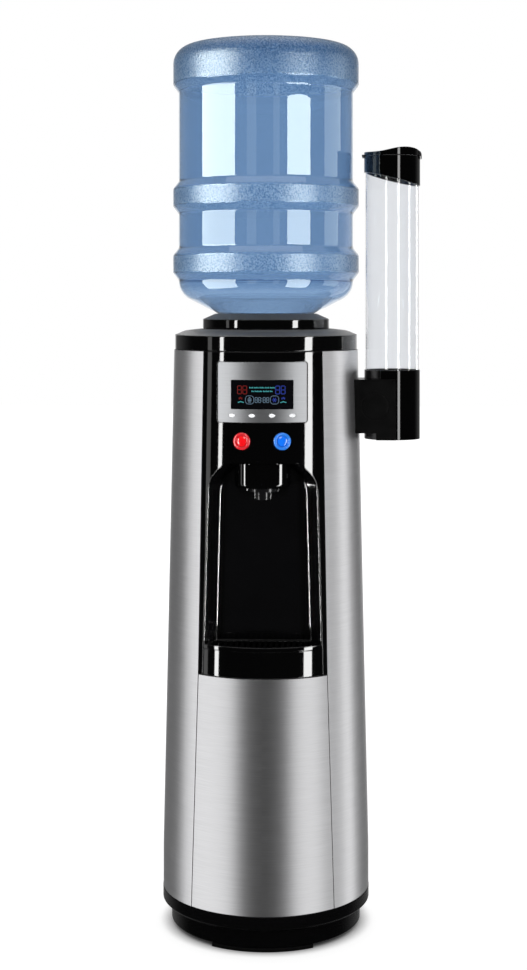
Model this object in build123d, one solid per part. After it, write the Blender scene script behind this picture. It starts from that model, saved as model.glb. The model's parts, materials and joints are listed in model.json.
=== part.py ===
from build123d import *
from math import asin, cos, radians, sin, sqrt, tan
import os

# Water cooler with an inverted bottle, a pull-out drip tray and a cup dispenser.
# Millimetres. The origin is on the cabinet axis at the floor, +Z is up and the front faces -Y.

# Heights of the cabinet, stacked from the floor up
FOOT_HEIGHT = 5.0
PLINTH_HEIGHT = 47.5
LOWER_PANEL_HEIGHT = 324.5
FASCIA_HEIGHT = 450.0
COVER_WALL_HEIGHT = 20.8
COVER_DOME_RISE = 8.4
COLLAR_HEIGHT = 25.5

# Steel cabinet skin
SKIRT_RADIUS = 149.0
SKIRT_HEIGHT = 57.0
TOP_RADIUS = 133.6
STEEL_WALL = 1.0
FOLD_DEPTH = 8.0
FRONT_HALF_BOTTOM = 99.9
FRONT_HALF_MIDDLE = 90.3
FRONT_HALF_TOP = 83.2
REAR_FLAT = 105.0
PANEL_GAP = 0.8
CLEARANCE = 0.3

# Plinth and feet
PLINTH_PROUD = 0.5
PLINTH_INSET = 12.5
PLINTH_STEP = 23.0
PLINTH_RAMP = 5.0
PLINTH_CHAMFER = 3.0
PLINTH_RIM = 5.0
PLINTH_WALL = 4.0
PLINTH_ROUND = 2.0
FOOT_RING_RADIUS = 119.0
FOOT_RING_WIDTH = 11.0
FRONT_PAD_HALF_ANGLE = 31.0
REAR_PAD_HALF_ANGLE = 20.0
REAR_PAD_ANGLE = 125.0

# Black front fascia and the dispensing niche
FASCIA_INSET = 1.0
FASCIA_WALL = 2.5
NICHE_BACK = 79.0
NICHE_BACK_HALF = 67.8
NICHE_SETBACK = 29.26
NICHE_FRONT_HALF = 83.3
NICHE_TAPER = 6.6
NICHE_SHOULDER = 272.6
NICHE_TOP = 296.5
NICHE_TOP_HALF = 46.4
NICHE_CEILING_RISE = 4.0
NICHE_SHOULDER_ROUND = 42.0
NICHE_TOP_ROUND = 7.0
LINER_WALL = 2.5
LINER_FLOOR = 4.0

# Spout
SPOUT_RADIUS = 39.0
SPOUT_CENTRE = 108.0
SPOUT_FLATNESS = 0.62
SPOUT_DROP = 36.5
SPOUT_WALL = 2.5
SPOUT_ROUND = 6.0
NOZZLE_FLANGE_RADIUS = 23.0
NOZZLE_FLANGE_HEIGHT = 5.0
NOZZLE_RADIUS = 11.7
NOZZLE_LENGTH = 12.0
NOZZLE_BORE = 8.0
NOZZLE_SPIGOT = 8.0
NOZZLE_ROUND = 1.0
NOZZLE_CENTRE = 104.0

# Drip tray
TRAY_HEIGHT = 43.0
TRAY_LIP = 6.0
TRAY_LIP_PROUD = 1.5
TRAY_WALL = 2.0
TRAY_LEDGE = 2.0
TRAY_PLAY = 0.6
GRILLE_THICKNESS = 3.0
GRILLE_SINK = 1.0
GRILLE_MARGIN = 6.0
GRILLE_SLOT = 4.0
GRILLE_PITCH = 8.0

# Display and its buttons
BEZEL_DROP = 14.4
BEZEL_HEIGHT = 83.0
BEZEL_HALF = 61.6
BEZEL_INSET = 0.2
BEZEL_ROUND = 3.0
BEZEL_FLANGE = 4.0
BEZEL_FLANGE_WALL = 1.5
WINDOW_HALF = 43.0
WINDOW_HEIGHT = 40.0
WINDOW_RAISE = 18.4
WINDOW_INSET = 0.7
WINDOW_WALL = 2.0
BOARD_SETBACK = 23.7
BOARD_HALF = 55.0
BOARD_MARGIN = 4.0
BOARD_WALL = 1.6
POST_RADIUS = 3.0
POST_INSET = 4.0
SWITCH_SIZE = 6.0
SWITCH_HEIGHT = 4.0
MODE_COUNT = 4
MODE_RAISE = 9.5
MODE_PITCH = 28.0
MODE_LENGTH = 8.8
MODE_WIDTH = 5.2
MODE_PROUD = 0.8
MODE_FLANGE = 1.2
MODE_DEPTH = 7.5

# Hot and cold push buttons
PUSH_DROP = 26.0
PUSH_OFFSET = 27.9
RING_RADIUS = 12.0
RING_SINK = 0.9
RING_PROUD = 1.6
BARREL_RADIUS = 9.8
BARREL_LENGTH = 8.0
PUSH_RADIUS = 7.3
PUSH_PROUD = 1.1
PUSH_PLAY = 0.35
PUSH_FLANGE_RADIUS = 9.3
PUSH_FLANGE_WALL = 2.0
PUSH_STEM_RADIUS = 3.5
PUSH_STEM_LENGTH = 3.0
PUSH_TRAVEL = 4.0

# Valves behind the push buttons
VALVE_SIZE = 22.0
VALVE_LENGTH = 24.0
VALVE_ROUND = 2.0
VALVE_OUTLET_RADIUS = 4.5
VALVE_INLET_RADIUS = 4.0
VALVE_INLET_HEIGHT = 8.0
VALVE_OUTLET_REACH = 14.0

# Top cover, bottle collar and feed probe
COVER_INSET = 1.0
COVER_WALL = 2.5
COVER_SHOULDER = 15.0
COVER_SHOULDER_RISE = 6.2
COVER_LIP_DEPTH = 6.0
COVER_LIP_WALL = 2.0
COVER_RIM_ROUND = 2.0
COVER_SHOULDER_ROUND = 25.0
RECESS_RADIUS = 96.0
RECESS_DEPTH = 3.5
RECESS_ROUND = 0.5
COLLAR_RADIUS = 92.2
COLLAR_CHAMFER = 5.0
COLLAR_BOTTOM_INSET = 8.0
COLLAR_TOP_DROP = 8.0
COLLAR_LIP = 4.0
COLLAR_ROUND = 1.5
SEAT_RADIUS = 70.0
WELL_RADIUS = 36.0
WELL_WALL = 2.5
WELL_CLEAR = 5.0
PROBE_RADIUS = 8.0
PROBE_BORE = 5.5
PROBE_RISE = 52.0
PROBE_FLANGE_RADIUS = 14.0
PROBE_FLANGE_WALL = 3.0
PROBE_DIP = 8.0
PROBE_WINDOW = 3.5

# Bottle, with heights measured up from its seat on the collar
BOTTLE_BODY_RADIUS = 127.0
BOTTLE_BAND_RADIUS = 135.0
BOTTLE_WALL = 1.5
BOTTLE_HEIGHT = 388.5
BOTTLE_SLOPE = 26.8
SHOULDER_ROUND = 30.0
BAND_FLARE = 10.5
BAND_ROUND = 5.0
LOWER_BAND_START = 48.0
MIDDLE_BAND_START = 144.5
BAND_HEIGHT = 47.5
BASE_BAND_HEIGHT = 67.5
BASE_ROUND = 26.0
BASE_RING_RADIUS = 96.0
BASE_RECESS_RADIUS = 82.0
BASE_RECESS_DEPTH = 9.0
NECK_RADIUS = 27.5
NECK_LENGTH = 65.0
NECK_ROUND = 6.0
CAP_WALL = 2.2
CAP_HEIGHT = 30.0
CAP_HOLE = 10.5

# Frame, tanks and cooling parts
UPRIGHT_WIDTH = 20.0
UPRIGHT_WALL = 1.5
UPRIGHT_X = 54.0
UPRIGHT_REAR = 96.0
SHELF_WALL = 1.5
COLD_TANK_RADIUS = 62.0
COLD_TANK_HEIGHT = 160.0
COLD_TANK_Y = 12.0
TANK_WALL = 1.2
TANK_DROP = 6.0
COIL_TUBE_RADIUS = 3.0
COIL_TURNS = 8
COIL_PITCH = 14.0
COIL_RAISE = 12.0
COLD_FOAM_WALL = 15.0
HOT_TANK_RADIUS = 50.0
HOT_TANK_HEIGHT = 150.0
HOT_TANK_Y = 22.0
HOT_TANK_GAP = 29.0
HEATER_WALL = 3.5
HEATER_HEIGHT = 35.0
HEATER_RAISE = 18.0
HOT_FOAM_WALL = 11.0
THERMOSTAT_RADIUS = 9.0
THERMOSTAT_HEIGHT = 10.0
TRANSFER_RADIUS = 5.0
TRANSFER_X = 26.0
TRANSFER_Y = 34.0
HOSE_RADIUS = 5.0
HOSE_BORE = 3.5
HOSE_BEND = 12.0
COLD_HOSE_X = 45.0
COLD_HOSE_Y = -20.0

# Compressor
COMPRESSOR_RADIUS = 68.0
COMPRESSOR_HEIGHT = 148.0
COMPRESSOR_ROUND = 24.0
COMPRESSOR_WALL = 8.0
COMPRESSOR_Y = 15.0
MOUNT_X = 58.0
MOUNT_Y = 52.0
MOUNT_RADIUS = 9.0
MOUNT_NECK = 5.0
MOUNT_HEIGHT = 12.0
MOUNT_HEAD = 4.0
MOUNT_HEAD_RADIUS = 8.0
COMPRESSOR_PLATE = 3.0
COMPRESSOR_PLATE_EDGE = 11.0

# Rear sheet and what it carries
REAR_SHEET_WALL = 1.0
REAR_TONGUE_HALF = 68.0
REAR_TONGUE_RISE = 16.0
LOUVRE_COUNT = 7
LOUVRE_PITCH = 12.0
LOUVRE_WIDTH = 70.0
LOUVRE_HEIGHT = 4.0
LOUVRE_RAISE = 60.0
SCREW_RADIUS = 1.6
SCREW_LENGTH = 7.0
SCREW_HEAD_RADIUS = 4.0
SCREW_HEAD_HEIGHT = 2.2
SCREW_EDGE = 6.5
SCREW_END = 40.0
CONDENSER_GAP = 8.0
CONDENSER_TUBE = 2.4
CONDENSER_HALF = 54.0
CONDENSER_RUNS = 12
CONDENSER_PITCH = 42.0
CONDENSER_RAISE = 150.0
CONDENSER_BEND = 15.0
CONDENSER_END_X = 40.0
CONDENSER_TAIL = 12.0
WIRE_RADIUS = 0.8
WIRE_COUNT = 7
WIRE_PITCH = 14.0
WIRE_OVERHANG = 12.0
STANDOFF_RADIUS = 3.0
GLAND_X = -40.0
GLAND_RAISE = 38.0
GLAND_RADIUS = 9.0
GLAND_BORE = 3.7
GLAND_NECK = 7.0
GLAND_LENGTH = 22.0
GLAND_FLANGE_RADIUS = 12.0
GLAND_FLANGE_WALL = 3.0
DRAIN_X = 30.0
DRAIN_RAISE = 78.0
DRAIN_RADIUS = 7.0
DRAIN_BORE = 5.0
DRAIN_STUB = 14.0
DRAIN_BEND = 8.4
BUNG_LENGTH = 12.0
BUNG_HEAD_RADIUS = 9.0
BUNG_HEAD_HEIGHT = 5.0
POWER_BOX_LEFT = 50.0
POWER_BOX_RIGHT = 12.0
POWER_BOX_DEPTH = 32.0
POWER_BOX_HEIGHT = 90.0
POWER_BOX_DROP = 30.0
POWER_BOX_ROUND = 3.0

# Cup dispenser on the right side
CUP_GAP = 7.57
CUP_TUBE_RADIUS = 38.9
CUP_TUBE_WALL = 1.5
CUP_TUBE_LENGTH = 364.0
CUP_TUBE_PLAY = 0.2
SOCKET_WALL = 1.4
SOCKET_DROP = 29.0
SOCKET_HEIGHT = 100.0
SOCKET_SEAT = 42.0
SOCKET_THROAT = 36.0
SOCKET_LIP = 34.0
SOCKET_LIP_HEIGHT = 2.0
RETAINER_HEIGHT = 5.0
RETAINER_WALL = 2.0
FINGER_COUNT = 6
FINGER_LENGTH = 3.5
FINGER_WIDTH = 8.0
BRACKET_BOTTOM = 10.0
BRACKET_HEIGHT = 77.0
BRACKET_PROUD = 2.0
BRACKET_REAR = 26.0
BRACKET_RIGHT = 4.0
BRACKET_FOOT_X = 24.0
EMBOSS_RADIUS = 20.0
EMBOSS_WIDTH = 1.4
EMBOSS_DEPTH = 0.6
EMBOSS_X = 25.4
CUP_COLLAR_WALL = 1.8
CUP_COLLAR_LEFT = 23.0
CUP_COLLAR_RIGHT = 43.0
CUP_COLLAR_TOP = 3.0
CUP_COLLAR_MOUTH = 36.0
LID_GAP = 0.3
LID_LEFT = 6.0
LID_DIP = 5.2
LID_CREST = 11.0
LID_CREST_X = 27.0
LID_LEAN = 0.1
LID_LIP_DROP = 4.0
LID_LIP_WALL = 2.2
LID_LIP_HALF = 14.0
HINGE_OUT = 0.7
KNUCKLE_RADIUS = 2.2
KNUCKLE_HALF = 4.7
EAR_START = 5.0
EAR_END = 9.0
PIN_RADIUS = 1.2
PIN_PLAY = 0.05
BRACKET_SCREW_SPREAD = 22.0

# Worked-out heights
STEEL_BOTTOM = FOOT_HEIGHT + PLINTH_HEIGHT
SKIRT_TOP = STEEL_BOTTOM + SKIRT_HEIGHT
FASCIA_BOTTOM = STEEL_BOTTOM + LOWER_PANEL_HEIGHT
STEEL_TOP = FASCIA_BOTTOM + FASCIA_HEIGHT
COVER_BOTTOM = STEEL_TOP + PANEL_GAP
COVER_RIM = COVER_BOTTOM + COVER_WALL_HEIGHT
COVER_CREST = COVER_RIM + COVER_DOME_RISE
COLLAR_BOTTOM = COVER_CREST - RECESS_DEPTH
COLLAR_TOP = COLLAR_BOTTOM + COLLAR_HEIGHT
BOTTLE_SEAT = COLLAR_TOP + CLEARANCE
NECK_TOP = BOTTLE_SEAT - (SEAT_RADIUS - NECK_RADIUS) * tan(radians(BOTTLE_SLOPE))
NECK_MOUTH = NECK_TOP - NECK_LENGTH
WELL_FLOOR = NECK_MOUTH - CAP_WALL - WELL_CLEAR
PLINTH_FLOOR = FOOT_HEIGHT + PLINTH_WALL
NICHE_FLOOR = FASCIA_BOTTOM + LINER_FLOOR
SPOUT_BOTTOM = FASCIA_BOTTOM + NICHE_TOP - SPOUT_DROP
TRAY_TOP = FASCIA_BOTTOM + TRAY_HEIGHT
BEZEL_TOP = STEEL_TOP - BEZEL_DROP
BEZEL_BOTTOM = BEZEL_TOP - BEZEL_HEIGHT
PUSH_HEIGHT = BEZEL_BOTTOM - PUSH_DROP
COLD_TANK_TOP = WELL_FLOOR - WELL_WALL - TANK_DROP
COLD_TANK_BOTTOM = COLD_TANK_TOP - COLD_TANK_HEIGHT
UPPER_SHELF = COLD_TANK_BOTTOM - SHELF_WALL
HOT_TANK_TOP = UPPER_SHELF - HOT_TANK_GAP
HOT_TANK_BOTTOM = HOT_TANK_TOP - HOT_TANK_HEIGHT
LOWER_SHELF = HOT_TANK_BOTTOM - SHELF_WALL
SOCKET_TOP = STEEL_TOP - SOCKET_DROP
SOCKET_BOTTOM = SOCKET_TOP - SOCKET_HEIGHT
CUP_SEAT = SOCKET_BOTTOM + SOCKET_SEAT
CUP_TUBE_TOP = CUP_SEAT + CUP_TUBE_LENGTH
LID_SPLIT = CUP_TUBE_TOP + CUP_COLLAR_TOP
DRAIN_HEIGHT = STEEL_BOTTOM + DRAIN_RAISE
GLAND_HEIGHT = STEEL_BOTTOM + GLAND_RAISE
BRACKET_LOW = SOCKET_BOTTOM + BRACKET_BOTTOM
BRACKET_MIDDLE = BRACKET_LOW + BRACKET_HEIGHT / 2


def skin_radius(z):
    """Outer radius of the steel cabinet at a height: a straight skirt, then a taper."""
    if z <= SKIRT_TOP:
        return SKIRT_RADIUS
    return SKIRT_RADIUS + (TOP_RADIUS - SKIRT_RADIUS) * (z - SKIRT_TOP) / (STEEL_TOP - SKIRT_TOP)


# Worked-out radii and places
PLINTH_RADIUS = SKIRT_RADIUS + PLINTH_PROUD
PLINTH_LOW_RADIUS = PLINTH_RADIUS - PLINTH_INSET
REACH = 2 * PLINTH_RADIUS
COVER_RADIUS = TOP_RADIUS - COVER_INSET
NICHE_FRONT = skin_radius(FASCIA_BOTTOM) - NICHE_SETBACK
BOARD_DEPTH = skin_radius(BEZEL_BOTTOM) - BOARD_SETBACK
FASCIA_INNER = FASCIA_INSET + FASCIA_WALL
LIP_RADIUS = TOP_RADIUS - FASCIA_INNER - CLEARANCE
BEZEL_INNER = FASCIA_INNER + CLEARANCE + BEZEL_FLANGE_WALL
REAR_FACE = REAR_FLAT + REAR_SHEET_WALL
SHELF_REAR = UPRIGHT_REAR - UPRIGHT_WALL - CLEARANCE
SHELF_HALF = UPRIGHT_X + UPRIGHT_WIDTH - UPRIGHT_WALL - CLEARANCE
SHELF_FRONT = NICHE_BACK - LINER_WALL - CLEARANCE
COIL_RADIUS = COLD_TANK_RADIUS + CLEARANCE + COIL_TUBE_RADIUS
COLD_FOAM_INNER = COIL_RADIUS + COIL_TUBE_RADIUS + CLEARANCE
HOT_FOAM_INNER = HOT_TANK_RADIUS + HEATER_WALL + 2 * CLEARANCE
CONDENSER_Y = REAR_FACE + CONDENSER_GAP
SOCKET_INNER = CUP_TUBE_RADIUS + CUP_TUBE_PLAY
SOCKET_RADIUS = SOCKET_INNER + SOCKET_WALL
CUP_X = skin_radius(BRACKET_MIDDLE) + CUP_GAP + SOCKET_RADIUS
CUP_COLLAR_RADIUS = SOCKET_INNER + CUP_COLLAR_WALL
HINGE_X = CUP_X - CUP_COLLAR_RADIUS - HINGE_OUT
HINGE_Z = LID_SPLIT


def levels_between(bottom, top, level):
    """Both ends, with the level between them if it lies there."""
    return [bottom, level, top] if bottom < level < top else [bottom, top]


def front_half(z):
    """Half the width of the front between the side panels at a height."""
    if z <= FASCIA_BOTTOM:
        share = (z - STEEL_BOTTOM) / LOWER_PANEL_HEIGHT
        return FRONT_HALF_BOTTOM + (FRONT_HALF_MIDDLE - FRONT_HALF_BOTTOM) * share
    share = (z - FASCIA_BOTTOM) / FASCIA_HEIGHT
    return FRONT_HALF_MIDDLE + (FRONT_HALF_TOP - FRONT_HALF_MIDDLE) * share


def revolved(points, rounds=None):
    """Turn a closed outline of (radius, height) points about the cabinet axis."""
    if rounds is None:
        outline = Polyline(*points, close=True)
    else:
        outline = FilletPolyline(*points, radius=rounds, close=True)
    return revolve(Plane.XZ * make_face(outline), Axis.Z)


def rod(radius, bottom, top, x=0.0, y=0.0):
    """Upright cylinder."""
    return Pos(x, y, bottom) * Cylinder(radius, top - bottom, align=(Align.CENTER, Align.CENTER, Align.MIN))


def pipe(outer, inner, bottom, top, x=0.0, y=0.0):
    """Upright cylinder with a through bore."""
    return rod(outer, bottom, top, x, y) - rod(inner, bottom, top, x, y)


def block(left, right, front, rear, bottom, top):
    """Box between its six sides."""
    middle = Pos((left + right) / 2, (front + rear) / 2, (bottom + top) / 2)
    return middle * Box(right - left, rear - front, top - bottom)


def front_plane(y):
    """Plane across the cabinet at a depth, facing the front."""
    return Plane(origin=(0, y, 0), x_dir=(1, 0, 0), z_dir=(0, -1, 0))


def towards_front(sketch, y=0.0):
    """Extrude an X-Z sketch from a depth to beyond the front."""
    return extrude(front_plane(y) * sketch, REACH)


def along_y(radius, front, rear, x, z):
    """Round rod from front to rear."""
    return extrude(front_plane(rear) * Pos(x, z) * Circle(radius), rear - front)


def skin_core(inset, bottom, top):
    """Everything within the cabinet skin, drawn in by an inset."""
    rim = [(skin_radius(z) - inset, z) for z in levels_between(bottom, top, SKIRT_TOP)]
    return revolved([(0, bottom)] + rim + [(0, top)])


def skin_shell(inset, wall, bottom, top):
    """Shell that follows the cabinet skin."""
    outer = [(skin_radius(z) - inset, z) for z in levels_between(bottom, top, SKIRT_TOP)]
    inner = [(radius - wall, z) for radius, z in reversed(outer)]
    return revolved(outer + inner)


def front_slab(extra, bottom, top):
    """Everything in front of the axis and between the side panels' front edges."""
    right = [(front_half(z) + extra, z) for z in levels_between(bottom, top, FASCIA_BOTTOM)]
    left = [(-x, z) for x, z in reversed(right)]
    return towards_front(Polygon(*right, *left, align=None))


def tube_along(points, bends, outer, inner=0.0):
    """Round tube along straight runs joined by arcs."""
    path = FilletPolyline(*points, radius=bends)
    start = Plane(origin=path @ 0, z_dir=path % 0)
    body = sweep(start * Circle(outer), path)
    if inner:
        body -= sweep(start * Circle(inner), path)
    return body


def rear_half(z, inset):
    """Half the width of the flat rear at a height, inside the skin."""
    return sqrt((skin_radius(z) - inset) ** 2 - REAR_FACE ** 2)


def rear_screw_places():
    """Where the rear sheet is screwed to the side panels' folds."""
    heights = [STEEL_BOTTOM + SCREW_END, (STEEL_BOTTOM + STEEL_TOP) / 2, STEEL_TOP - SCREW_END]
    return [(side * (rear_half(z, STEEL_WALL) - SCREW_EDGE), z) for side in (-1, 1) for z in heights]


def bracket_screw_heights():
    """Heights of the two screws that hold the cup bracket."""
    return [BRACKET_MIDDLE - BRACKET_SCREW_SPREAD, BRACKET_MIDDLE + BRACKET_SCREW_SPREAD]


def along_x(radius, left, right, y, z):
    """Round rod from left to right."""
    plane = Plane(origin=(left, y, z), x_dir=(0, 1, 0), z_dir=(1, 0, 0))
    return extrude(plane * Circle(radius), right - left)


def side_panels():
    """Left and right steel panels, with their front and rear edges folded in."""
    low = STEEL_BOTTOM - PANEL_GAP
    high = STEEL_TOP + PANEL_GAP
    wrap = skin_shell(0, STEEL_WALL, STEEL_BOTTOM, STEEL_TOP)
    band = skin_shell(0, FOLD_DEPTH, STEEL_BOTTOM, STEEL_TOP - 2 * COVER_LIP_DEPTH)
    front_fold = band & (front_slab(STEEL_WALL, low, high) - front_slab(0, low, high))
    rear_fold = band & block(-REACH, REACH, REAR_FLAT - STEEL_WALL, REAR_FLAT, low, high)
    both = wrap + front_fold + rear_fold
    both -= front_slab(0, low, high)
    both -= block(-REACH, REACH, REAR_FLAT, REACH, low, high)
    for x, z in rear_screw_places():
        both -= along_y(SCREW_RADIUS + CLEARANCE, REAR_FLAT - FOLD_DEPTH, REAR_FLAT + FOLD_DEPTH, x, z)
    for z in bracket_screw_heights():
        both -= along_x(SCREW_RADIUS + CLEARANCE, CUP_X - SOCKET_RADIUS - 2 * FOLD_DEPTH, CUP_X, 0, z)
    solids = both.solids().sort_by(Axis.X)
    return solids[0], solids[-1]


def lower_front_panel():
    """Steel panel below the fascia, with folded sides and top."""
    bottom = STEEL_BOTTOM + CLEARANCE
    top = FASCIA_BOTTOM - PANEL_GAP / 2
    inside = front_slab(-PANEL_GAP, bottom - PANEL_GAP, top + PANEL_GAP)
    core = front_slab(-PANEL_GAP - STEEL_WALL, bottom - PANEL_GAP, top + PANEL_GAP)
    sheet = skin_shell(0, STEEL_WALL, bottom, top) & inside
    sides = skin_shell(0, FOLD_DEPTH, bottom, top) & (inside - core)
    lid = skin_shell(0, FOLD_DEPTH, top - STEEL_WALL, top) & inside
    return sheet + sides + lid


def base_plinth():
    """Two-step black base, hollow like a pan."""
    step = FOOT_HEIGHT + PLINTH_STEP
    ramp = step + PLINTH_RAMP
    inner = PLINTH_RADIUS - PLINTH_RIM
    low_inner = PLINTH_LOW_RADIUS - PLINTH_WALL
    pan = revolved(
        [
            (0, FOOT_HEIGHT),
            (PLINTH_LOW_RADIUS, FOOT_HEIGHT),
            (PLINTH_LOW_RADIUS, step),
            (PLINTH_RADIUS - PLINTH_CHAMFER, ramp),
            (PLINTH_RADIUS, ramp + PLINTH_CHAMFER),
            (PLINTH_RADIUS, STEEL_BOTTOM),
            (inner, STEEL_BOTTOM),
            (inner, ramp + PLINTH_WALL),
            (low_inner, step + PLINTH_WALL),
            (low_inner, PLINTH_FLOOR),
            (0, PLINTH_FLOOR),
        ],
        [0, PLINTH_ROUND] + [PLINTH_ROUND / 2] * 7 + [PLINTH_ROUND, 0],
    )
    deck = rod(PLINTH_RADIUS - PLINTH_CHAMFER, STEEL_BOTTOM - PLINTH_WALL, STEEL_BOTTOM)
    return pan + (deck & block(-REACH, REACH, REAR_FLAT, REACH, 0, STEEL_TOP))


def wedge(half_angle):
    """Upright wedge that opens towards the front, over the height of the feet."""
    far = REACH / cos(radians(half_angle))
    side = far * sin(radians(half_angle))
    return extrude(Polygon((0, 0), (-side, -REACH), (side, -REACH), align=None), FOOT_HEIGHT)


def foot_ring():
    """Ring under the base with a broad pad in front and two pads behind."""
    inner = FOOT_RING_RADIUS - FOOT_RING_WIDTH
    ring = pipe(FOOT_RING_RADIUS, inner, 0, FOOT_HEIGHT)
    pad_band = pipe(PLINTH_LOW_RADIUS - CLEARANCE, inner, 0, FOOT_HEIGHT)
    front_pad = pad_band & wedge(FRONT_PAD_HALF_ANGLE)
    rear_pad = pad_band & wedge(REAR_PAD_HALF_ANGLE)
    left_pad = Rot(0, 0, -REAR_PAD_ANGLE) * rear_pad
    right_pad = Rot(0, 0, REAR_PAD_ANGLE) * rear_pad
    return ring + front_pad + left_pad + right_pad


def niche_outline(half, rise, bottom, grow):
    """Arch of the niche as seen from the front."""
    top = FASCIA_BOTTOM + NICHE_TOP + rise + grow
    shoulder = FASCIA_BOTTOM + NICHE_SHOULDER + rise + grow / 2
    low_half = half + grow
    high_half = half - NICHE_TAPER + grow
    top_half = NICHE_TOP_HALF + half - NICHE_FRONT_HALF + grow / 2
    points = [
        (-low_half, bottom),
        (low_half, bottom),
        (high_half, shoulder),
        (top_half, top),
        (-top_half, top),
        (-high_half, shoulder),
    ]
    shoulder_round = NICHE_SHOULDER_ROUND + grow
    rounds = [0, 0, shoulder_round, NICHE_TOP_ROUND, NICHE_TOP_ROUND, shoulder_round]
    return make_face(FilletPolyline(*points, radius=rounds, close=True))


def niche_space(grow, bottom):
    """The niche's hollow, narrowing towards its back, grown or shrunk by a wall."""
    depth = NICHE_FRONT - NICHE_BACK
    spread = NICHE_FRONT_HALF - NICHE_BACK_HALF
    front = NICHE_BACK + 2 * depth
    back = NICHE_BACK - grow
    steepness = spread / depth
    front_half_width = NICHE_BACK_HALF + steepness * (front - NICHE_BACK)
    back_half_width = NICHE_BACK_HALF + steepness * (back - NICHE_BACK)
    sections = [
        front_plane(-back) * niche_outline(back_half_width, -NICHE_CEILING_RISE, bottom, grow),
        front_plane(-front) * niche_outline(front_half_width, 0, bottom, grow),
    ]
    return loft(sections, ruled=True)


def bezel_sketch(grow):
    """Rounded outline of the display bezel."""
    middle = Pos(0, (BEZEL_BOTTOM + BEZEL_TOP) / 2)
    return middle * RectangleRounded(
        2 * (BEZEL_HALF + grow), BEZEL_HEIGHT + 2 * grow, BEZEL_ROUND + max(grow, 0))


def window_sketch(grow):
    """Outline of the display window."""
    bottom = BEZEL_BOTTOM + WINDOW_RAISE
    return Pos(0, bottom + WINDOW_HEIGHT / 2) * RectangleRounded(
        2 * (WINDOW_HALF + grow), WINDOW_HEIGHT + 2 * grow, BEZEL_ROUND / 2)


def mode_places():
    """Centres of the mode buttons across the bezel."""
    return [MODE_PITCH * (index - (MODE_COUNT - 1) / 2) for index in range(MODE_COUNT)]


def mode_sketch(x, grow):
    """Oval outline of a mode button."""
    return Pos(x, BEZEL_BOTTOM + MODE_RAISE) * Ellipse(MODE_LENGTH / 2 + grow, MODE_WIDTH / 2 + grow)


def push_plane(side):
    """Plane on the fascia at a push button, facing out."""
    radius = skin_radius(PUSH_HEIGHT) - FASCIA_INSET
    angle = asin(side * PUSH_OFFSET / radius)
    out = (sin(angle), -cos(angle), 0)
    across = (cos(angle), sin(angle), 0)
    return Plane(origin=(radius * out[0], radius * out[1], PUSH_HEIGHT), x_dir=across, z_dir=out)


def on_push(side, radius, inner, outer):
    """Cylinder on a push button's axis, from a depth behind the fascia to one before it."""
    return extrude(push_plane(side).offset(inner) * Circle(radius), outer - inner)


def front_fascia():
    """Glossy black front with the arch, the bezel's window and the button holes."""
    bottom = FASCIA_BOTTOM + PANEL_GAP / 2
    shell = skin_shell(FASCIA_INSET, FASCIA_WALL, bottom, STEEL_TOP)
    shell &= front_slab(-PANEL_GAP, bottom - PANEL_GAP, STEEL_TOP + PANEL_GAP)
    shell -= niche_space(0, FASCIA_BOTTOM - PANEL_GAP)
    shell -= towards_front(bezel_sketch(CLEARANCE))
    for side in (-1, 1):
        shell -= on_push(side, BARREL_RADIUS + CLEARANCE, -2 * BARREL_LENGTH, BARREL_LENGTH)
        shell -= on_push(side, RING_RADIUS + CLEARANCE, -RING_SINK, BARREL_LENGTH)
    return shell


def niche_liner():
    """Black moulded hollow behind the fascia, with the spout's feed holes in its ceiling."""
    high = FASCIA_BOTTOM + NICHE_TOP + 4 * NICHE_CEILING_RISE
    shell = niche_space(LINER_WALL, NICHE_FLOOR - LINER_WALL) - niche_space(0, NICHE_FLOOR)
    shell &= skin_core(FASCIA_INNER + CLEARANCE, FASCIA_BOTTOM, high)
    for side in (-1, 1):
        x, y = valve_outlet(side)
        shell -= rod(VALVE_OUTLET_RADIUS + CLEARANCE, SPOUT_BOTTOM, high, x, y)
    return shell


def valve_depths():
    """Front and rear of a valve, measured out from the fascia along its button."""
    stem_end = RING_SINK + BARREL_LENGTH + PUSH_FLANGE_WALL + PUSH_STEM_LENGTH + 2 * CLEARANCE
    front = -stem_end - PUSH_TRAVEL - CLEARANCE
    return front, front - VALVE_LENGTH


def valve_outlet(side):
    """Plan place of a valve's outlet."""
    front, rear = valve_depths()
    centre = push_plane(side).offset((front + rear) / 2).origin
    return centre.X, centre.Y


def valve(side):
    """Valve body with its plunger face at the button's stem, an outlet below and an inlet above."""
    front, rear = valve_depths()
    x, y = valve_outlet(side)
    section = RectangleRounded(VALVE_SIZE, VALVE_SIZE, VALVE_ROUND)
    body = extrude(push_plane(side).offset(rear) * section, front - rear)
    half = VALVE_SIZE / 2
    outlet_end = FASCIA_BOTTOM + NICHE_TOP - VALVE_OUTLET_REACH
    outlet = rod(VALVE_OUTLET_RADIUS, outlet_end, PUSH_HEIGHT - half, x, y)
    inlet = rod(VALVE_INLET_RADIUS, PUSH_HEIGHT + half, PUSH_HEIGHT + half + VALVE_INLET_HEIGHT, x, y)
    return body + outlet + inlet


def push_ring(side):
    """Ring round a push button, let into the fascia."""
    ring = on_push(side, RING_RADIUS, -RING_SINK, RING_PROUD)
    barrel = on_push(side, BARREL_RADIUS, -RING_SINK - BARREL_LENGTH, -RING_SINK)
    bore = on_push(side, PUSH_RADIUS + PUSH_PLAY, -2 * BARREL_LENGTH, BARREL_LENGTH)
    return ring + barrel - bore


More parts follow.
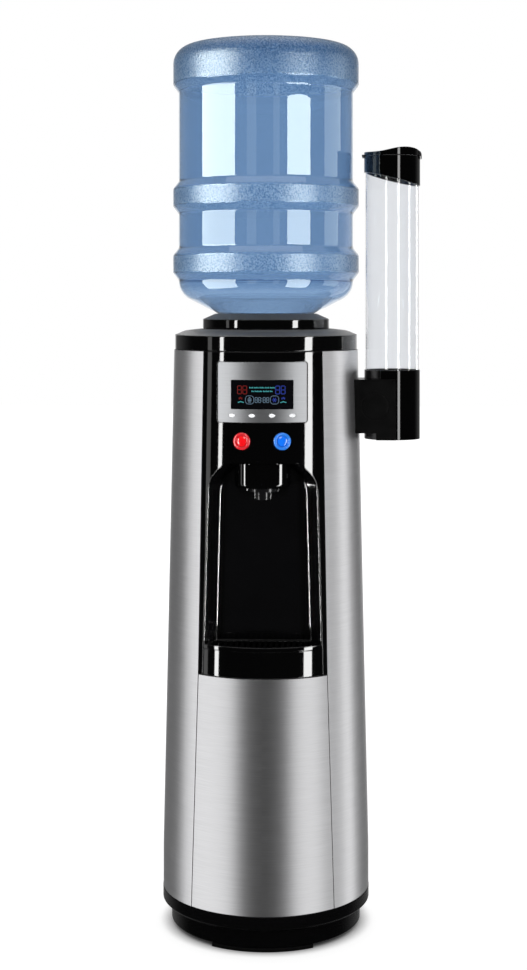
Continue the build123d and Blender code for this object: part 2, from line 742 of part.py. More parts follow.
def push_button(side):
    """Round push button with a retaining flange and a stem."""
    flange_front = -RING_SINK - BARREL_LENGTH - CLEARANCE
    flange_rear = flange_front - PUSH_FLANGE_WALL
    head = on_push(side, PUSH_RADIUS, flange_front, PUSH_PROUD)
    flange = on_push(side, PUSH_FLANGE_RADIUS, flange_rear, flange_front)
    stem = on_push(side, PUSH_STEM_RADIUS, flange_rear - PUSH_STEM_LENGTH, flange_rear)
    return head + flange + stem


def display_bezel():
    """Silver plate let into the fascia, with a flange behind it."""
    low = BEZEL_BOTTOM - 2 * BEZEL_FLANGE
    high = BEZEL_TOP + 2 * BEZEL_FLANGE
    plate = skin_shell(BEZEL_INSET, BEZEL_INNER - BEZEL_INSET, low, high) & towards_front(bezel_sketch(0))
    flange = skin_shell(BEZEL_INNER - BEZEL_FLANGE_WALL, BEZEL_FLANGE_WALL, low, high)
    flange &= towards_front(bezel_sketch(BEZEL_FLANGE))
    bezel = plate + flange
    bezel -= towards_front(window_sketch(CLEARANCE))
    for x in mode_places():
        bezel -= towards_front(mode_sketch(x, CLEARANCE))
    return bezel


def display_window():
    """Dark clear window in the bezel."""
    shell = skin_shell(BEZEL_INSET + WINDOW_INSET, WINDOW_WALL, BEZEL_BOTTOM, BEZEL_TOP)
    return shell & towards_front(window_sketch(0))


def display_board():
    """Circuit board on posts behind the bezel, with the display block and the switches."""
    bottom = BEZEL_BOTTOM + BOARD_MARGIN
    top = BEZEL_TOP - BOARD_MARGIN
    inside = skin_core(BEZEL_INNER + CLEARANCE, BEZEL_BOTTOM, BEZEL_TOP)
    board = block(-BOARD_HALF, BOARD_HALF, -BOARD_DEPTH, -BOARD_DEPTH + BOARD_WALL, bottom, top)
    window_bottom = BEZEL_BOTTOM + WINDOW_RAISE
    glass_half = WINDOW_HALF - 2 * CLEARANCE
    glass = block(-glass_half, glass_half, -REACH, -BOARD_DEPTH, window_bottom, window_bottom + WINDOW_HEIGHT)
    display = glass & skin_core(BEZEL_INSET + WINDOW_INSET + WINDOW_WALL + CLEARANCE, BEZEL_BOTTOM, BEZEL_TOP)
    board += display
    for x in (-BOARD_HALF + POST_INSET, BOARD_HALF - POST_INSET):
        for z in (bottom + POST_INSET, top - POST_INSET):
            board += along_y(POST_RADIUS, -TOP_RADIUS, -BOARD_DEPTH, x, z) & inside
    for x in mode_places():
        z = BEZEL_BOTTOM + MODE_RAISE
        half = SWITCH_SIZE / 2
        board += block(x - half, x + half, -BOARD_DEPTH - SWITCH_HEIGHT, -BOARD_DEPTH, z - half, z + half)
    return board


def mode_button(x):
    """Oval button through the bezel, with a flange behind it."""
    low = BEZEL_BOTTOM - MODE_LENGTH
    high = BEZEL_BOTTOM + 2 * MODE_RAISE
    front = BEZEL_INSET - MODE_PROUD
    head = skin_shell(front, MODE_DEPTH - front, low, high) & towards_front(mode_sketch(x, 0))
    flange_front = BEZEL_INNER + CLEARANCE
    flange = skin_shell(flange_front, MODE_DEPTH - flange_front, low, high)
    return head + (flange & towards_front(mode_sketch(x, MODE_FLANGE)))


def spout_plan(radius):
    """Plan of the spout housing: a flattened round front with straight sides back to the niche."""
    straight = Pos(0, -(SPOUT_CENTRE + NICHE_BACK) / 2) * Rectangle(2 * radius, SPOUT_CENTRE - NICHE_BACK)
    return Pos(0, -SPOUT_CENTRE) * Ellipse(radius, SPOUT_FLATNESS * radius) + straight


def spout_housing():
    """Hollow bulge under the niche's ceiling that holds the nozzle."""
    rear = -NICHE_BACK - CLEARANCE
    outer = Pos(0, 0, SPOUT_BOTTOM) * extrude(spout_plan(SPOUT_RADIUS), 2 * SPOUT_DROP)
    outer -= block(-REACH, REACH, rear, REACH, 0, STEEL_TOP)
    bottom_edges = outer.edges().group_by(Axis.Z)[0].filter_by(GeomType.ELLIPSE)
    outer = fillet(bottom_edges, SPOUT_ROUND)
    outer &= niche_space(-CLEARANCE, NICHE_FLOOR)
    hollow = extrude(spout_plan(SPOUT_RADIUS - SPOUT_WALL), 2 * SPOUT_DROP)
    hollow = Pos(0, 0, SPOUT_BOTTOM + SPOUT_WALL) * hollow
    hollow -= block(-REACH, REACH, rear - SPOUT_WALL, REACH, 0, STEEL_TOP)
    hole_radius = NOZZLE_RADIUS - SPOUT_WALL / 2 + CLEARANCE
    hole = rod(hole_radius, NICHE_FLOOR, SPOUT_BOTTOM + SPOUT_DROP / 2, 0, -NOZZLE_CENTRE)
    return outer - hollow - hole


def spout_nozzle():
    """Stepped nozzle with a bore, plugged into the housing from below."""
    flange_bottom = SPOUT_BOTTOM - NOZZLE_FLANGE_HEIGHT
    tip = flange_bottom - NOZZLE_LENGTH
    spigot_radius = NOZZLE_RADIUS - SPOUT_WALL / 2
    spigot_top = SPOUT_BOTTOM + NOZZLE_SPIGOT
    turned = revolved(
        [
            (NOZZLE_BORE, tip),
            (NOZZLE_RADIUS, tip),
            (NOZZLE_RADIUS, flange_bottom),
            (NOZZLE_FLANGE_RADIUS, flange_bottom),
            (NOZZLE_FLANGE_RADIUS, SPOUT_BOTTOM),
            (spigot_radius, SPOUT_BOTTOM),
            (spigot_radius, spigot_top),
            (NOZZLE_BORE, spigot_top),
        ],
        [0] + [NOZZLE_ROUND] * 3 + [0] * 4,
    )
    return Pos(0, -NOZZLE_CENTRE, 0) * turned


def tray_slice(shrink, inset, bottom, top):
    """Slice of the niche's outline at tray height, cut to the front's curve."""
    space = niche_space(-TRAY_PLAY - shrink, FASCIA_BOTTOM)
    return space & skin_core(inset, bottom, top)


def drip_tray():
    """Pull-out tray with a curved front wall and a proud lip."""
    grille_seat = TRAY_TOP - GRILLE_SINK - GRILLE_THICKNESS
    floor = NICHE_FLOOR + CLEARANCE
    body = tray_slice(0, FASCIA_INSET, floor, TRAY_TOP)
    apron = tray_slice(0, FASCIA_INSET, FASCIA_BOTTOM + PANEL_GAP / 2, TRAY_TOP)
    apron -= skin_core(FASCIA_INNER, FASCIA_BOTTOM - PANEL_GAP, TRAY_TOP + PANEL_GAP)
    lip = tray_slice(0, FASCIA_INSET - TRAY_LIP_PROUD, TRAY_TOP - TRAY_LIP, TRAY_TOP)
    tray = body + apron + lip
    above = TRAY_TOP + TRAY_LIP
    tray -= tray_slice(TRAY_WALL + TRAY_LEDGE, FASCIA_INNER + TRAY_LEDGE, floor + TRAY_WALL, above)
    tray -= tray_slice(TRAY_WALL, FASCIA_INNER, grille_seat, above)
    return tray


def drip_grille():
    """Slotted plate that lies on the tray's ledge."""
    bottom = TRAY_TOP - GRILLE_SINK - GRILLE_THICKNESS
    top = TRAY_TOP - GRILLE_SINK
    plate = tray_slice(TRAY_WALL + CLEARANCE, FASCIA_INNER + CLEARANCE, bottom, top)
    field = tray_slice(TRAY_WALL + GRILLE_MARGIN, FASCIA_INNER + GRILLE_MARGIN, bottom, top)
    count = int(NICHE_FRONT_HALF / GRILLE_PITCH)
    for index in range(-count, count + 1):
        x = index * GRILLE_PITCH
        slot = block(x - GRILLE_SLOT / 2, x + GRILLE_SLOT / 2, -REACH, 0, bottom, top)
        plate -= field & slot
    return plate


def top_cover():
    """Black cover: a short wall, a low dome and a recess for the collar."""
    lip_inner = LIP_RADIUS - COVER_LIP_WALL
    shoulder = COVER_RADIUS - COVER_SHOULDER
    hole = WELL_RADIUS + WELL_WALL + CLEARANCE
    crest_radius = RECESS_RADIUS + COVER_WALL
    cover = revolved(
        [
            (COVER_RADIUS, COVER_BOTTOM),
            (COVER_RADIUS, COVER_RIM),
            (shoulder, COVER_RIM + COVER_SHOULDER_RISE),
            (crest_radius, COVER_CREST),
            (RECESS_RADIUS, COVER_CREST),
            (RECESS_RADIUS, COLLAR_BOTTOM),
            (hole, COLLAR_BOTTOM),
            (hole, COLLAR_BOTTOM - COVER_WALL),
            (crest_radius, COLLAR_BOTTOM - COVER_WALL),
            (lip_inner, COVER_RIM - COVER_WALL),
            (lip_inner, COVER_BOTTOM - COVER_LIP_DEPTH),
            (LIP_RADIUS, COVER_BOTTOM - COVER_LIP_DEPTH),
            (LIP_RADIUS, COVER_BOTTOM),
        ],
        [0, COVER_RIM_ROUND, COVER_SHOULDER_ROUND, RECESS_ROUND, RECESS_ROUND] + [0] * 8,
    )
    rear = REAR_FLAT - COVER_LIP_WALL
    return cover - block(-REACH, REACH, rear, REACH, COVER_BOTTOM - 2 * COVER_LIP_DEPTH, COVER_BOTTOM)


def bottle_cone(radius):
    """Height of the bottle's shoulder cone at a radius."""
    return BOTTLE_SEAT + (radius - SEAT_RADIUS) * tan(radians(BOTTLE_SLOPE))


def bottle_collar():
    """Black collar whose conical seat carries the bottle, with a well for the neck."""
    well_outer = WELL_RADIUS + WELL_WALL
    floor_hole = PROBE_RADIUS + CLEARANCE
    return revolved(
        [
            (COLLAR_RADIUS - COLLAR_BOTTOM_INSET, COLLAR_BOTTOM),
            (COLLAR_RADIUS, COLLAR_BOTTOM + COLLAR_CHAMFER),
            (COLLAR_RADIUS, COLLAR_TOP - COLLAR_TOP_DROP),
            (SEAT_RADIUS + COLLAR_LIP, COLLAR_TOP),
            (SEAT_RADIUS, COLLAR_TOP),
            (WELL_RADIUS, bottle_cone(WELL_RADIUS) - CLEARANCE),
            (WELL_RADIUS, WELL_FLOOR),
            (floor_hole, WELL_FLOOR),
            (floor_hole, WELL_FLOOR - WELL_WALL),
            (well_outer, WELL_FLOOR - WELL_WALL),
            (well_outer, COLLAR_BOTTOM),
        ],
        [0] + [COLLAR_ROUND] * 5 + [0] * 5,
    )


def feed_probe():
    """Hollow spike that opens the bottle's cap and leads the water down to the cold tank."""
    bottom = COLD_TANK_TOP - PROBE_DIP
    tip = WELL_FLOOR + PROBE_RISE
    shoulder = tip - PROBE_RADIUS
    probe = revolved(
        [
            (PROBE_BORE, bottom),
            (PROBE_RADIUS, bottom),
            (PROBE_RADIUS, WELL_FLOOR),
            (PROBE_FLANGE_RADIUS, WELL_FLOOR),
            (PROBE_FLANGE_RADIUS, WELL_FLOOR + PROBE_FLANGE_WALL),
            (PROBE_RADIUS, WELL_FLOOR + PROBE_FLANGE_WALL),
            (PROBE_RADIUS, shoulder),
            (PROBE_RADIUS / 2, tip),
            (0, tip),
            (0, shoulder),
            (PROBE_BORE, shoulder),
        ]
    )
    window_height = shoulder - 2 * PROBE_WINDOW
    probe -= along_y(PROBE_WINDOW, -2 * PROBE_RADIUS, 2 * PROBE_RADIUS, 0, window_height)
    return probe - along_x(PROBE_WINDOW, -2 * PROBE_RADIUS, 2 * PROBE_RADIUS, 0, window_height)


def bottle_outline(inset, mouth):
    """Half outline of the bottle, drawn in by its wall for the inside."""
    body = BOTTLE_BODY_RADIUS - inset
    band = BOTTLE_BAND_RADIUS - inset
    neck = NECK_RADIUS - inset
    top = BOTTLE_SEAT + BOTTLE_HEIGHT - inset
    lift = inset / cos(radians(BOTTLE_SLOPE))
    points = [(0, mouth), (neck, mouth), (neck, bottle_cone(neck) + lift), (body, bottle_cone(body) + lift)]
    rounds = [0, 0, NECK_ROUND, SHOULDER_ROUND - inset]
    for start in (LOWER_BAND_START, MIDDLE_BAND_START):
        low = BOTTLE_SEAT + start
        high = low + BAND_HEIGHT
        points += [(body, low), (band, low + BAND_FLARE), (band, high - BAND_FLARE), (body, high)]
        rounds += [BAND_ROUND] * 4
    low = BOTTLE_SEAT + BOTTLE_HEIGHT - BASE_BAND_HEIGHT
    points += [(body, low), (band, low + BAND_FLARE), (band, top), (BASE_RING_RADIUS, top)]
    rounds += [BAND_ROUND, BAND_ROUND, BASE_ROUND - inset, BAND_ROUND]
    points += [(BASE_RECESS_RADIUS, top - BASE_RECESS_DEPTH), (0, top - BASE_RECESS_DEPTH)]
    rounds += [BAND_ROUND, 0]
    return revolved(points, rounds)


def water_bottle():
    """Upside-down bottle with three raised bands."""
    return bottle_outline(0, NECK_MOUTH) - bottle_outline(BOTTLE_WALL, NECK_MOUTH - BOTTLE_WALL)


def bottle_cap():
    """Cap on the bottle's neck, pierced for the feed probe."""
    inner = NECK_RADIUS + CLEARANCE
    end = NECK_MOUTH - CLEARANCE
    cap = rod(inner + CAP_WALL, end - CAP_WALL, end + CAP_HEIGHT)
    cap -= rod(inner, end, end + CAP_HEIGHT)
    return cap - rod(CAP_HOLE, end - CAP_WALL, end)


def frame_upright(side):
    """Angle-section upright from the base to the cover."""
    outer = UPRIGHT_X + UPRIGHT_WIDTH
    front = UPRIGHT_REAR - UPRIGHT_WIDTH
    top = COVER_RIM - COVER_WALL - CLEARANCE
    angle = block(UPRIGHT_X, outer, front, UPRIGHT_REAR, PLINTH_FLOOR, top)
    angle -= block(UPRIGHT_X, outer - UPRIGHT_WALL, front, UPRIGHT_REAR - UPRIGHT_WALL, PLINTH_FLOOR, top)
    return angle if side > 0 else mirror(angle, Plane.YZ)


def tank_shelf(level):
    """Sheet shelf between the uprights and the niche liner."""
    sheet = block(-SHELF_HALF, SHELF_HALF, -SHELF_FRONT, SHELF_REAR, level, level + SHELF_WALL)
    return sheet & skin_core(2 * FOLD_DEPTH, level, level + SHELF_WALL)


def hollow_tank(radius, bottom, top, y):
    """Closed sheet tank."""
    return rod(radius, bottom, top, 0, y) - rod(radius - TANK_WALL, bottom + TANK_WALL, top - TANK_WALL, 0, y)


def cold_tank():
    """Cold water tank under the bottle's well."""
    tank = hollow_tank(COLD_TANK_RADIUS, COLD_TANK_BOTTOM, COLD_TANK_TOP, COLD_TANK_Y)
    tank -= rod(PROBE_RADIUS + CLEARANCE, COLD_TANK_TOP - 2 * TANK_WALL, COLD_TANK_TOP + TANK_WALL)
    return tank - transfer_bore()


def transfer_bore():
    """Room for the transfer pipe through the tank ends and the shelf."""
    low = HOT_TANK_TOP - 2 * TANK_WALL
    high = COLD_TANK_BOTTOM + 2 * TANK_WALL
    return rod(TRANSFER_RADIUS + CLEARANCE, low, high, TRANSFER_X, TRANSFER_Y)


def transfer_pipe():
    """Pipe that feeds the hot tank from the cold tank."""
    low = HOT_TANK_TOP - TANK_WALL
    high = COLD_TANK_BOTTOM + TANK_WALL
    return pipe(TRANSFER_RADIUS, TRANSFER_RADIUS - TANK_WALL, low, high, TRANSFER_X, TRANSFER_Y)


def evaporator_coil():
    """Copper coil round the cold tank, one half turn after another."""
    height = COLD_TANK_BOTTOM + COIL_RAISE
    arcs = []
    for half_turn in range(2 * COIL_TURNS):
        side = 1 if half_turn % 2 == 0 else -1
        low = height + half_turn * COIL_PITCH / 2
        high = low + COIL_PITCH / 2
        start = (side * COIL_RADIUS, COLD_TANK_Y, low)
        middle = (0, COLD_TANK_Y + side * COIL_RADIUS, (low + high) / 2)
        end = (-side * COIL_RADIUS, COLD_TANK_Y, high)
        arcs.append(ThreePointArc(start, middle, end))
    path = Wire(arcs)
    return sweep(Plane(origin=path @ 0, z_dir=path % 0) * Circle(COIL_TUBE_RADIUS), path)


def foam_sleeve(inner, wall, bottom, top, y):
    """Insulation round a tank."""
    return pipe(inner + wall, inner, bottom, top, 0, y)


def hot_tank():
    """Hot water tank on the lower shelf."""
    tank = hollow_tank(HOT_TANK_RADIUS, HOT_TANK_BOTTOM, HOT_TANK_TOP, HOT_TANK_Y)
    x, y = drain_start()
    drain_hole = rod(DRAIN_RADIUS + CLEARANCE, LOWER_SHELF, HOT_TANK_BOTTOM + 2 * TANK_WALL, x, y)
    return tank - transfer_bore() - drain_hole


def heater_band():
    """Band heater clamped round the hot tank."""
    inner = HOT_TANK_RADIUS + CLEARANCE
    bottom = HOT_TANK_BOTTOM + HEATER_RAISE
    return pipe(inner + HEATER_WALL, inner, bottom, bottom + HEATER_HEIGHT, 0, HOT_TANK_Y)


def thermostat():
    """Button thermostat on top of the hot tank."""
    return rod(THERMOSTAT_RADIUS, HOT_TANK_TOP, HOT_TANK_TOP + THERMOSTAT_HEIGHT, 0, HOT_TANK_Y)


def compressor():
    """Welded pot on its mounting plate."""
    plate_bottom = PLINTH_FLOOR + MOUNT_HEIGHT
    plate_top = plate_bottom + COMPRESSOR_PLATE
    top = plate_top + COMPRESSOR_HEIGHT
    pot = rod(COMPRESSOR_RADIUS, plate_top, top, 0, COMPRESSOR_Y)
    pot = fillet(pot.edges().group_by(Axis.Z)[-1], COMPRESSOR_ROUND)
    hollow = rod(COMPRESSOR_RADIUS - COMPRESSOR_WALL, plate_top, top - COMPRESSOR_WALL, 0, COMPRESSOR_Y)
    hollow = fillet(hollow.edges().group_by(Axis.Z)[-1], COMPRESSOR_ROUND - COMPRESSOR_WALL)
    half_x = MOUNT_X + COMPRESSOR_PLATE_EDGE
    half_y = MOUNT_Y + COMPRESSOR_PLATE_EDGE
    plate = block(-half_x, half_x, COMPRESSOR_Y - half_y, COMPRESSOR_Y + half_y, plate_bottom, plate_top)
    body = pot - hollow + plate
    for x, y in mount_places():
        body -= rod(MOUNT_NECK + CLEARANCE, plate_bottom, plate_top, x, y)
    return body


def mount_places():
    """Plan places of the compressor's rubber mounts."""
    return [(x, COMPRESSOR_Y + y) for x in (-MOUNT_X, MOUNT_X) for y in (-MOUNT_Y, MOUNT_Y)]


def compressor_mounts():
    """Four rubber mounts with a neck in the plate."""
    plate_bottom = PLINTH_FLOOR + MOUNT_HEIGHT
    plate_top = plate_bottom + COMPRESSOR_PLATE
    mounts = []
    for x, y in mount_places():
        low = rod(MOUNT_RADIUS, PLINTH_FLOOR, plate_bottom, x, y)
        neck = rod(MOUNT_NECK, plate_bottom, plate_top, x, y)
        head = rod(MOUNT_HEAD_RADIUS, plate_top, plate_top + MOUNT_HEAD, x, y)
        mounts.append(low + neck + head)
    return mounts


def condenser_ends():
    """Heights of the condenser's first and last runs."""
    low = STEEL_BOTTOM + CONDENSER_RAISE
    return low, low + (CONDENSER_RUNS - 1) * CONDENSER_PITCH


def wire_places():
    """Places of the condenser's wires across it."""
    return [WIRE_PITCH * (index - (WIRE_COUNT - 1) / 2) for index in range(WIRE_COUNT)]


def condenser_tube():
    """Serpentine tube behind the rear sheet, with both ends led in through it."""
    low, high = condenser_ends()
    inside = REAR_FLAT - CONDENSER_TAIL
    points = [(CONDENSER_END_X, inside, low), (CONDENSER_END_X, CONDENSER_Y, low)]
    for run in range(CONDENSER_RUNS):
        z = low + run * CONDENSER_PITCH
        side = -1 if run % 2 == 0 else 1
        if run > 0:
            points.append((-side * CONDENSER_HALF, CONDENSER_Y, z))
        if run < CONDENSER_RUNS - 1:
            points.append((side * CONDENSER_HALF, CONDENSER_Y, z))
    last = CONDENSER_END_X if CONDENSER_RUNS % 2 == 0 else -CONDENSER_END_X
    points += [(last, CONDENSER_Y, high), (last, inside, high)]
    bends = [CONDENSER_BEND / 2] + [CONDENSER_BEND] * (len(points) - 4) + [CONDENSER_BEND / 2]
    return tube_along(points, bends, CONDENSER_TUBE), last


def condenser():
    """Serpentine tube, its wires on both faces and the posts that hold it."""
    low, high = condenser_ends()
    tube, _ = condenser_tube()
    solids = [tube]
    offset = CONDENSER_TUBE + WIRE_RADIUS + CLEARANCE / 2
    for x in wire_places():
        for y in (CONDENSER_Y - offset, CONDENSER_Y + offset):
            solids.append(rod(WIRE_RADIUS, low - WIRE_OVERHANG, high + WIRE_OVERHANG, x, y))
    front = CONDENSER_Y - offset - WIRE_RADIUS - CLEARANCE / 2
    for x in (wire_places()[0], wire_places()[-1]):
        for z in (low + CONDENSER_PITCH / 2, high - CONDENSER_PITCH / 2):
            solids.append(along_y(STANDOFF_RADIUS, REAR_FACE, front, x, z))
    return solids


def rear_sheet():
    """Flat rear sheet with louvre slots and the holes for what passes through it."""
    bottom = STEEL_BOTTOM + CLEARANCE
    top = STEEL_TOP - COVER_LIP_DEPTH
    inset = STEEL_WALL + CLEARANCE
    right = [(rear_half(z, inset), z) for z in levels_between(bottom, top, SKIRT_TOP)]
    left = [(-x, z) for x, z in reversed(right)]
    outline = Polygon(*right, *left, align=None)
    tongue_top = STEEL_TOP + REAR_TONGUE_RISE
    tongue = Pos(0, (top + tongue_top) / 2) * Rectangle(2 * REAR_TONGUE_HALF, tongue_top - top)
    sheet = extrude(front_plane(REAR_FACE) * (outline + tongue), REAR_SHEET_WALL)
    near, far = REAR_FLAT - FOLD_DEPTH, REAR_FACE + FOLD_DEPTH
    for x, z in rear_screw_places():
        sheet -= along_y(SCREW_RADIUS + CLEARANCE, near, far, x, z)
    for row in range(LOUVRE_COUNT):
        z = STEEL_BOTTOM + LOUVRE_RAISE + row * LOUVRE_PITCH
        left_end = GLAND_X - LOUVRE_WIDTH / 2
        sheet -= block(left_end, left_end + LOUVRE_WIDTH, near, far, z, z + LOUVRE_HEIGHT)
    sheet -= along_y(GLAND_NECK + CLEARANCE, near, far, GLAND_X, GLAND_HEIGHT)
    sheet -= along_y(DRAIN_RADIUS + CLEARANCE, near, far, DRAIN_X, DRAIN_HEIGHT)
    low, high = condenser_ends()
    _, last = condenser_tube()
    for x, z in ((CONDENSER_END_X, low), (last, high)):
        sheet -= along_y(CONDENSER_TUBE + CLEARANCE, near, far, x, z)
    return sheet


def rear_screws():
    """Six pan-head screws that hold the rear sheet."""
    screws = []
    for x, z in rear_screw_places():
        head = along_y(SCREW_HEAD_RADIUS, REAR_FACE, REAR_FACE + SCREW_HEAD_HEIGHT, x, z)
        shank = along_y(SCREW_RADIUS, REAR_FACE - SCREW_LENGTH, REAR_FACE, x, z)
        screws.append(head + shank)
    return screws


def cord_gland():
    """Gland for the mains lead, with its bore open to the back."""
    flange_end = REAR_FACE + GLAND_FLANGE_WALL
    inner_end = REAR_FLAT - CLEARANCE
    body = along_y(GLAND_NECK, inner_end - GLAND_FLANGE_WALL, flange_end, GLAND_X, GLAND_HEIGHT)
    body += along_y(GLAND_FLANGE_RADIUS, REAR_FACE, flange_end, GLAND_X, GLAND_HEIGHT)
    body += along_y(GLAND_RADIUS, flange_end, REAR_FACE + GLAND_LENGTH, GLAND_X, GLAND_HEIGHT)
    body += along_y(GLAND_RADIUS, inner_end - GLAND_FLANGE_WALL, inner_end, GLAND_X, GLAND_HEIGHT)
    bore_end = REAR_FACE + 2 * GLAND_LENGTH
    return body - along_y(GLAND_BORE, inner_end - GLAND_LENGTH, bore_end, GLAND_X, GLAND_HEIGHT)


def drain_start():
    """Plan place where the drain leaves the hot tank."""
    return DRAIN_X, HOT_TANK_Y + HOT_TANK_RADIUS / 2


def drain_pipe():
    """Drain from the hot tank's floor down and out through the rear sheet."""
    x, y = drain_start()
    rear = REAR_FLAT - DRAIN_RADIUS - 2 * CLEARANCE
    turn = LOWER_SHELF - 3 * DRAIN_RADIUS
    points = [
        (x, y, HOT_TANK_BOTTOM + TANK_WALL),
        (x, y, turn),
        (x, rear, turn - DRAIN_RADIUS),
        (x, rear, DRAIN_HEIGHT),
        (x, REAR_FACE + DRAIN_STUB, DRAIN_HEIGHT),
    ]
    return tube_along(points, [DRAIN_BEND] * 3, DRAIN_RADIUS, DRAIN_BORE)


def drain_bung():
    """Rubber bung that pulls out of the drain."""
    end = REAR_FACE + DRAIN_STUB + CLEARANCE
    plug = along_y(DRAIN_BORE - CLEARANCE, end - BUNG_LENGTH, end, DRAIN_X, DRAIN_HEIGHT)
    return plug + along_y(BUNG_HEAD_RADIUS, end, end + BUNG_HEAD_HEIGHT, DRAIN_X, DRAIN_HEIGHT)


def power_box():
    """Box of the power board on the inside of the rear sheet."""
    top = LOWER_SHELF - POWER_BOX_DROP
    rear = REAR_FLAT - CLEARANCE
    box = block(-POWER_BOX_LEFT, POWER_BOX_RIGHT, rear - POWER_BOX_DEPTH, rear, top - POWER_BOX_HEIGHT, top)
    return fillet(box.edges().filter_by(Axis.Y), POWER_BOX_ROUND)


def cold_hose():
    """Hose from the cold tank's top to the cold valve."""
    x, y = valve_outlet(1)
    valve_top = PUSH_HEIGHT + VALVE_SIZE / 2 + VALVE_INLET_HEIGHT
    over = COLD_TANK_TOP + 2 * HOSE_BEND
    points = [
        (COLD_HOSE_X, COLD_HOSE_Y, COLD_TANK_TOP),
        (COLD_HOSE_X, COLD_HOSE_Y, over),
        (x, y, over),
        (x, y, valve_top),
    ]
    return tube_along(points, [HOSE_BEND] * 2, HOSE_RADIUS, HOSE_BORE)


def hot_hose_riser():
    """Plan place where the hot hose climbs past the cold tank."""
    return -SHELF_HALF + 2 * HOSE_RADIUS, -SHELF_FRONT + 3 * HOSE_RADIUS


def hot_hose():
    """Hose from the hot tank's top, up beside the cold tank, to the hot valve."""
    x, y = valve_outlet(-1)
    valve_top = PUSH_HEIGHT + VALVE_SIZE / 2 + VALVE_INLET_HEIGHT
    over = valve_top + 2 * HOSE_BEND
    riser_x, riser_y = hot_hose_riser()
    start_x = -HOT_TANK_RADIUS / 2
    low = HOT_TANK_TOP + HOT_TANK_GAP / 2
    points = [
        (start_x, 0, HOT_TANK_TOP),
        (start_x, 0, low),
        (riser_x, riser_y, low),
        (riser_x, riser_y, over),
        (x, y, over),
        (x, y, valve_top),
    ]
    return tube_along(points, [HOSE_BEND] * 4, HOSE_RADIUS, HOSE_BORE)


def upper_shelf():
    """Shelf of the cold tank, with room for the hot hose and the transfer pipe."""
    x, y = hot_hose_riser()
    hole = rod(HOSE_RADIUS + CLEARANCE, UPPER_SHELF - SHELF_WALL, COLD_TANK_BOTTOM + SHELF_WALL, x, y)
    return tank_shelf(UPPER_SHELF) - hole - transfer_bore()


def lower_shelf():
    """Shelf of the hot tank, with room for the drain."""
    x, y = drain_start()
    return tank_shelf(LOWER_SHELF) - rod(DRAIN_RADIUS + CLEARANCE, 0, HOT_TANK_BOTTOM, x, y)


def cup_socket():
    """Black socket that holds the cup tube on a ledge."""
    throat_bottom = SOCKET_BOTTOM + SOCKET_LIP_HEIGHT
    socket = rod(SOCKET_RADIUS, SOCKET_BOTTOM, SOCKET_TOP, CUP_X)
    socket -= rod(SOCKET_INNER, CUP_SEAT - CLEARANCE, SOCKET_TOP, CUP_X)
    socket -= rod(SOCKET_THROAT, throat_bottom, CUP_SEAT, CUP_X)
    return socket - rod(SOCKET_LIP, SOCKET_BOTTOM, throat_bottom, CUP_X)


def cup_retainer():
    """Ring with inward fingers that hold the lowest cup."""
    bottom = SOCKET_BOTTOM + SOCKET_LIP_HEIGHT
    top = bottom + RETAINER_HEIGHT
    outer = SOCKET_THROAT - CLEARANCE
    inner = outer - RETAINER_WALL
    ring = pipe(outer, inner, bottom, top)
    half = FINGER_WIDTH / 2
    finger = block(inner - FINGER_LENGTH, inner + RETAINER_WALL / 2, -half, half, bottom, top)
    for index in range(FINGER_COUNT):
        ring += Rot(0, 0, 360 * index / FINGER_COUNT) * finger
    return Pos(CUP_X, 0, 0) * ring


def cup_bracket():
    """Block between the cabinet and the socket, with a flat front and a round emboss."""
    front = -SOCKET_RADIUS - BRACKET_PROUD
    top = BRACKET_LOW + BRACKET_HEIGHT
    right = CUP_X + BRACKET_RIGHT
    body = block(0, right, front, BRACKET_REAR, BRACKET_LOW, top)
    body += block(CUP_X - BRACKET_FOOT_X, right, front, 0, SOCKET_BOTTOM, BRACKET_LOW)
    body -= skin_core(-CLEARANCE, STEEL_BOTTOM, STEEL_TOP)
    body -= rod(SOCKET_RADIUS + CLEARANCE / 2, SOCKET_BOTTOM - CLEARANCE, SOCKET_TOP, CUP_X)
    emboss = Circle(EMBOSS_RADIUS) - Circle(EMBOSS_RADIUS - EMBOSS_WIDTH)
    emboss = Pos(CUP_X - EMBOSS_X, BRACKET_MIDDLE) * emboss
    body -= extrude(front_plane(front + EMBOSS_DEPTH) * emboss, 2 * EMBOSS_DEPTH)
    for z in bracket_screw_heights():
        body -= along_x(SCREW_RADIUS + CLEARANCE, 0, CUP_X, 0, z)
    return body.solids().sort_by(SortBy.VOLUME)[-1]


def bracket_screws():
    """Two screws from inside the cabinet into the cup bracket."""
    screws = []
    for z in bracket_screw_heights():
        inner = skin_radius(z) - STEEL_WALL - CLEARANCE
        head = along_x(SCREW_HEAD_RADIUS, inner - SCREW_HEAD_HEIGHT, inner, 0, z)
        screws.append(head + along_x(SCREW_RADIUS, inner, inner + SCREW_LENGTH, 0, z))
    return screws


def cup_tube():
    """Clear tube that holds the stack of cups."""
    return pipe(CUP_TUBE_RADIUS, CUP_TUBE_RADIUS - CUP_TUBE_WALL, CUP_SEAT, CUP_TUBE_TOP, CUP_X)


def hinge_rod(radius, front, rear):
    """Round rod on the lid's hinge axis."""
    return along_y(radius, front, rear, HINGE_X, HINGE_Z)


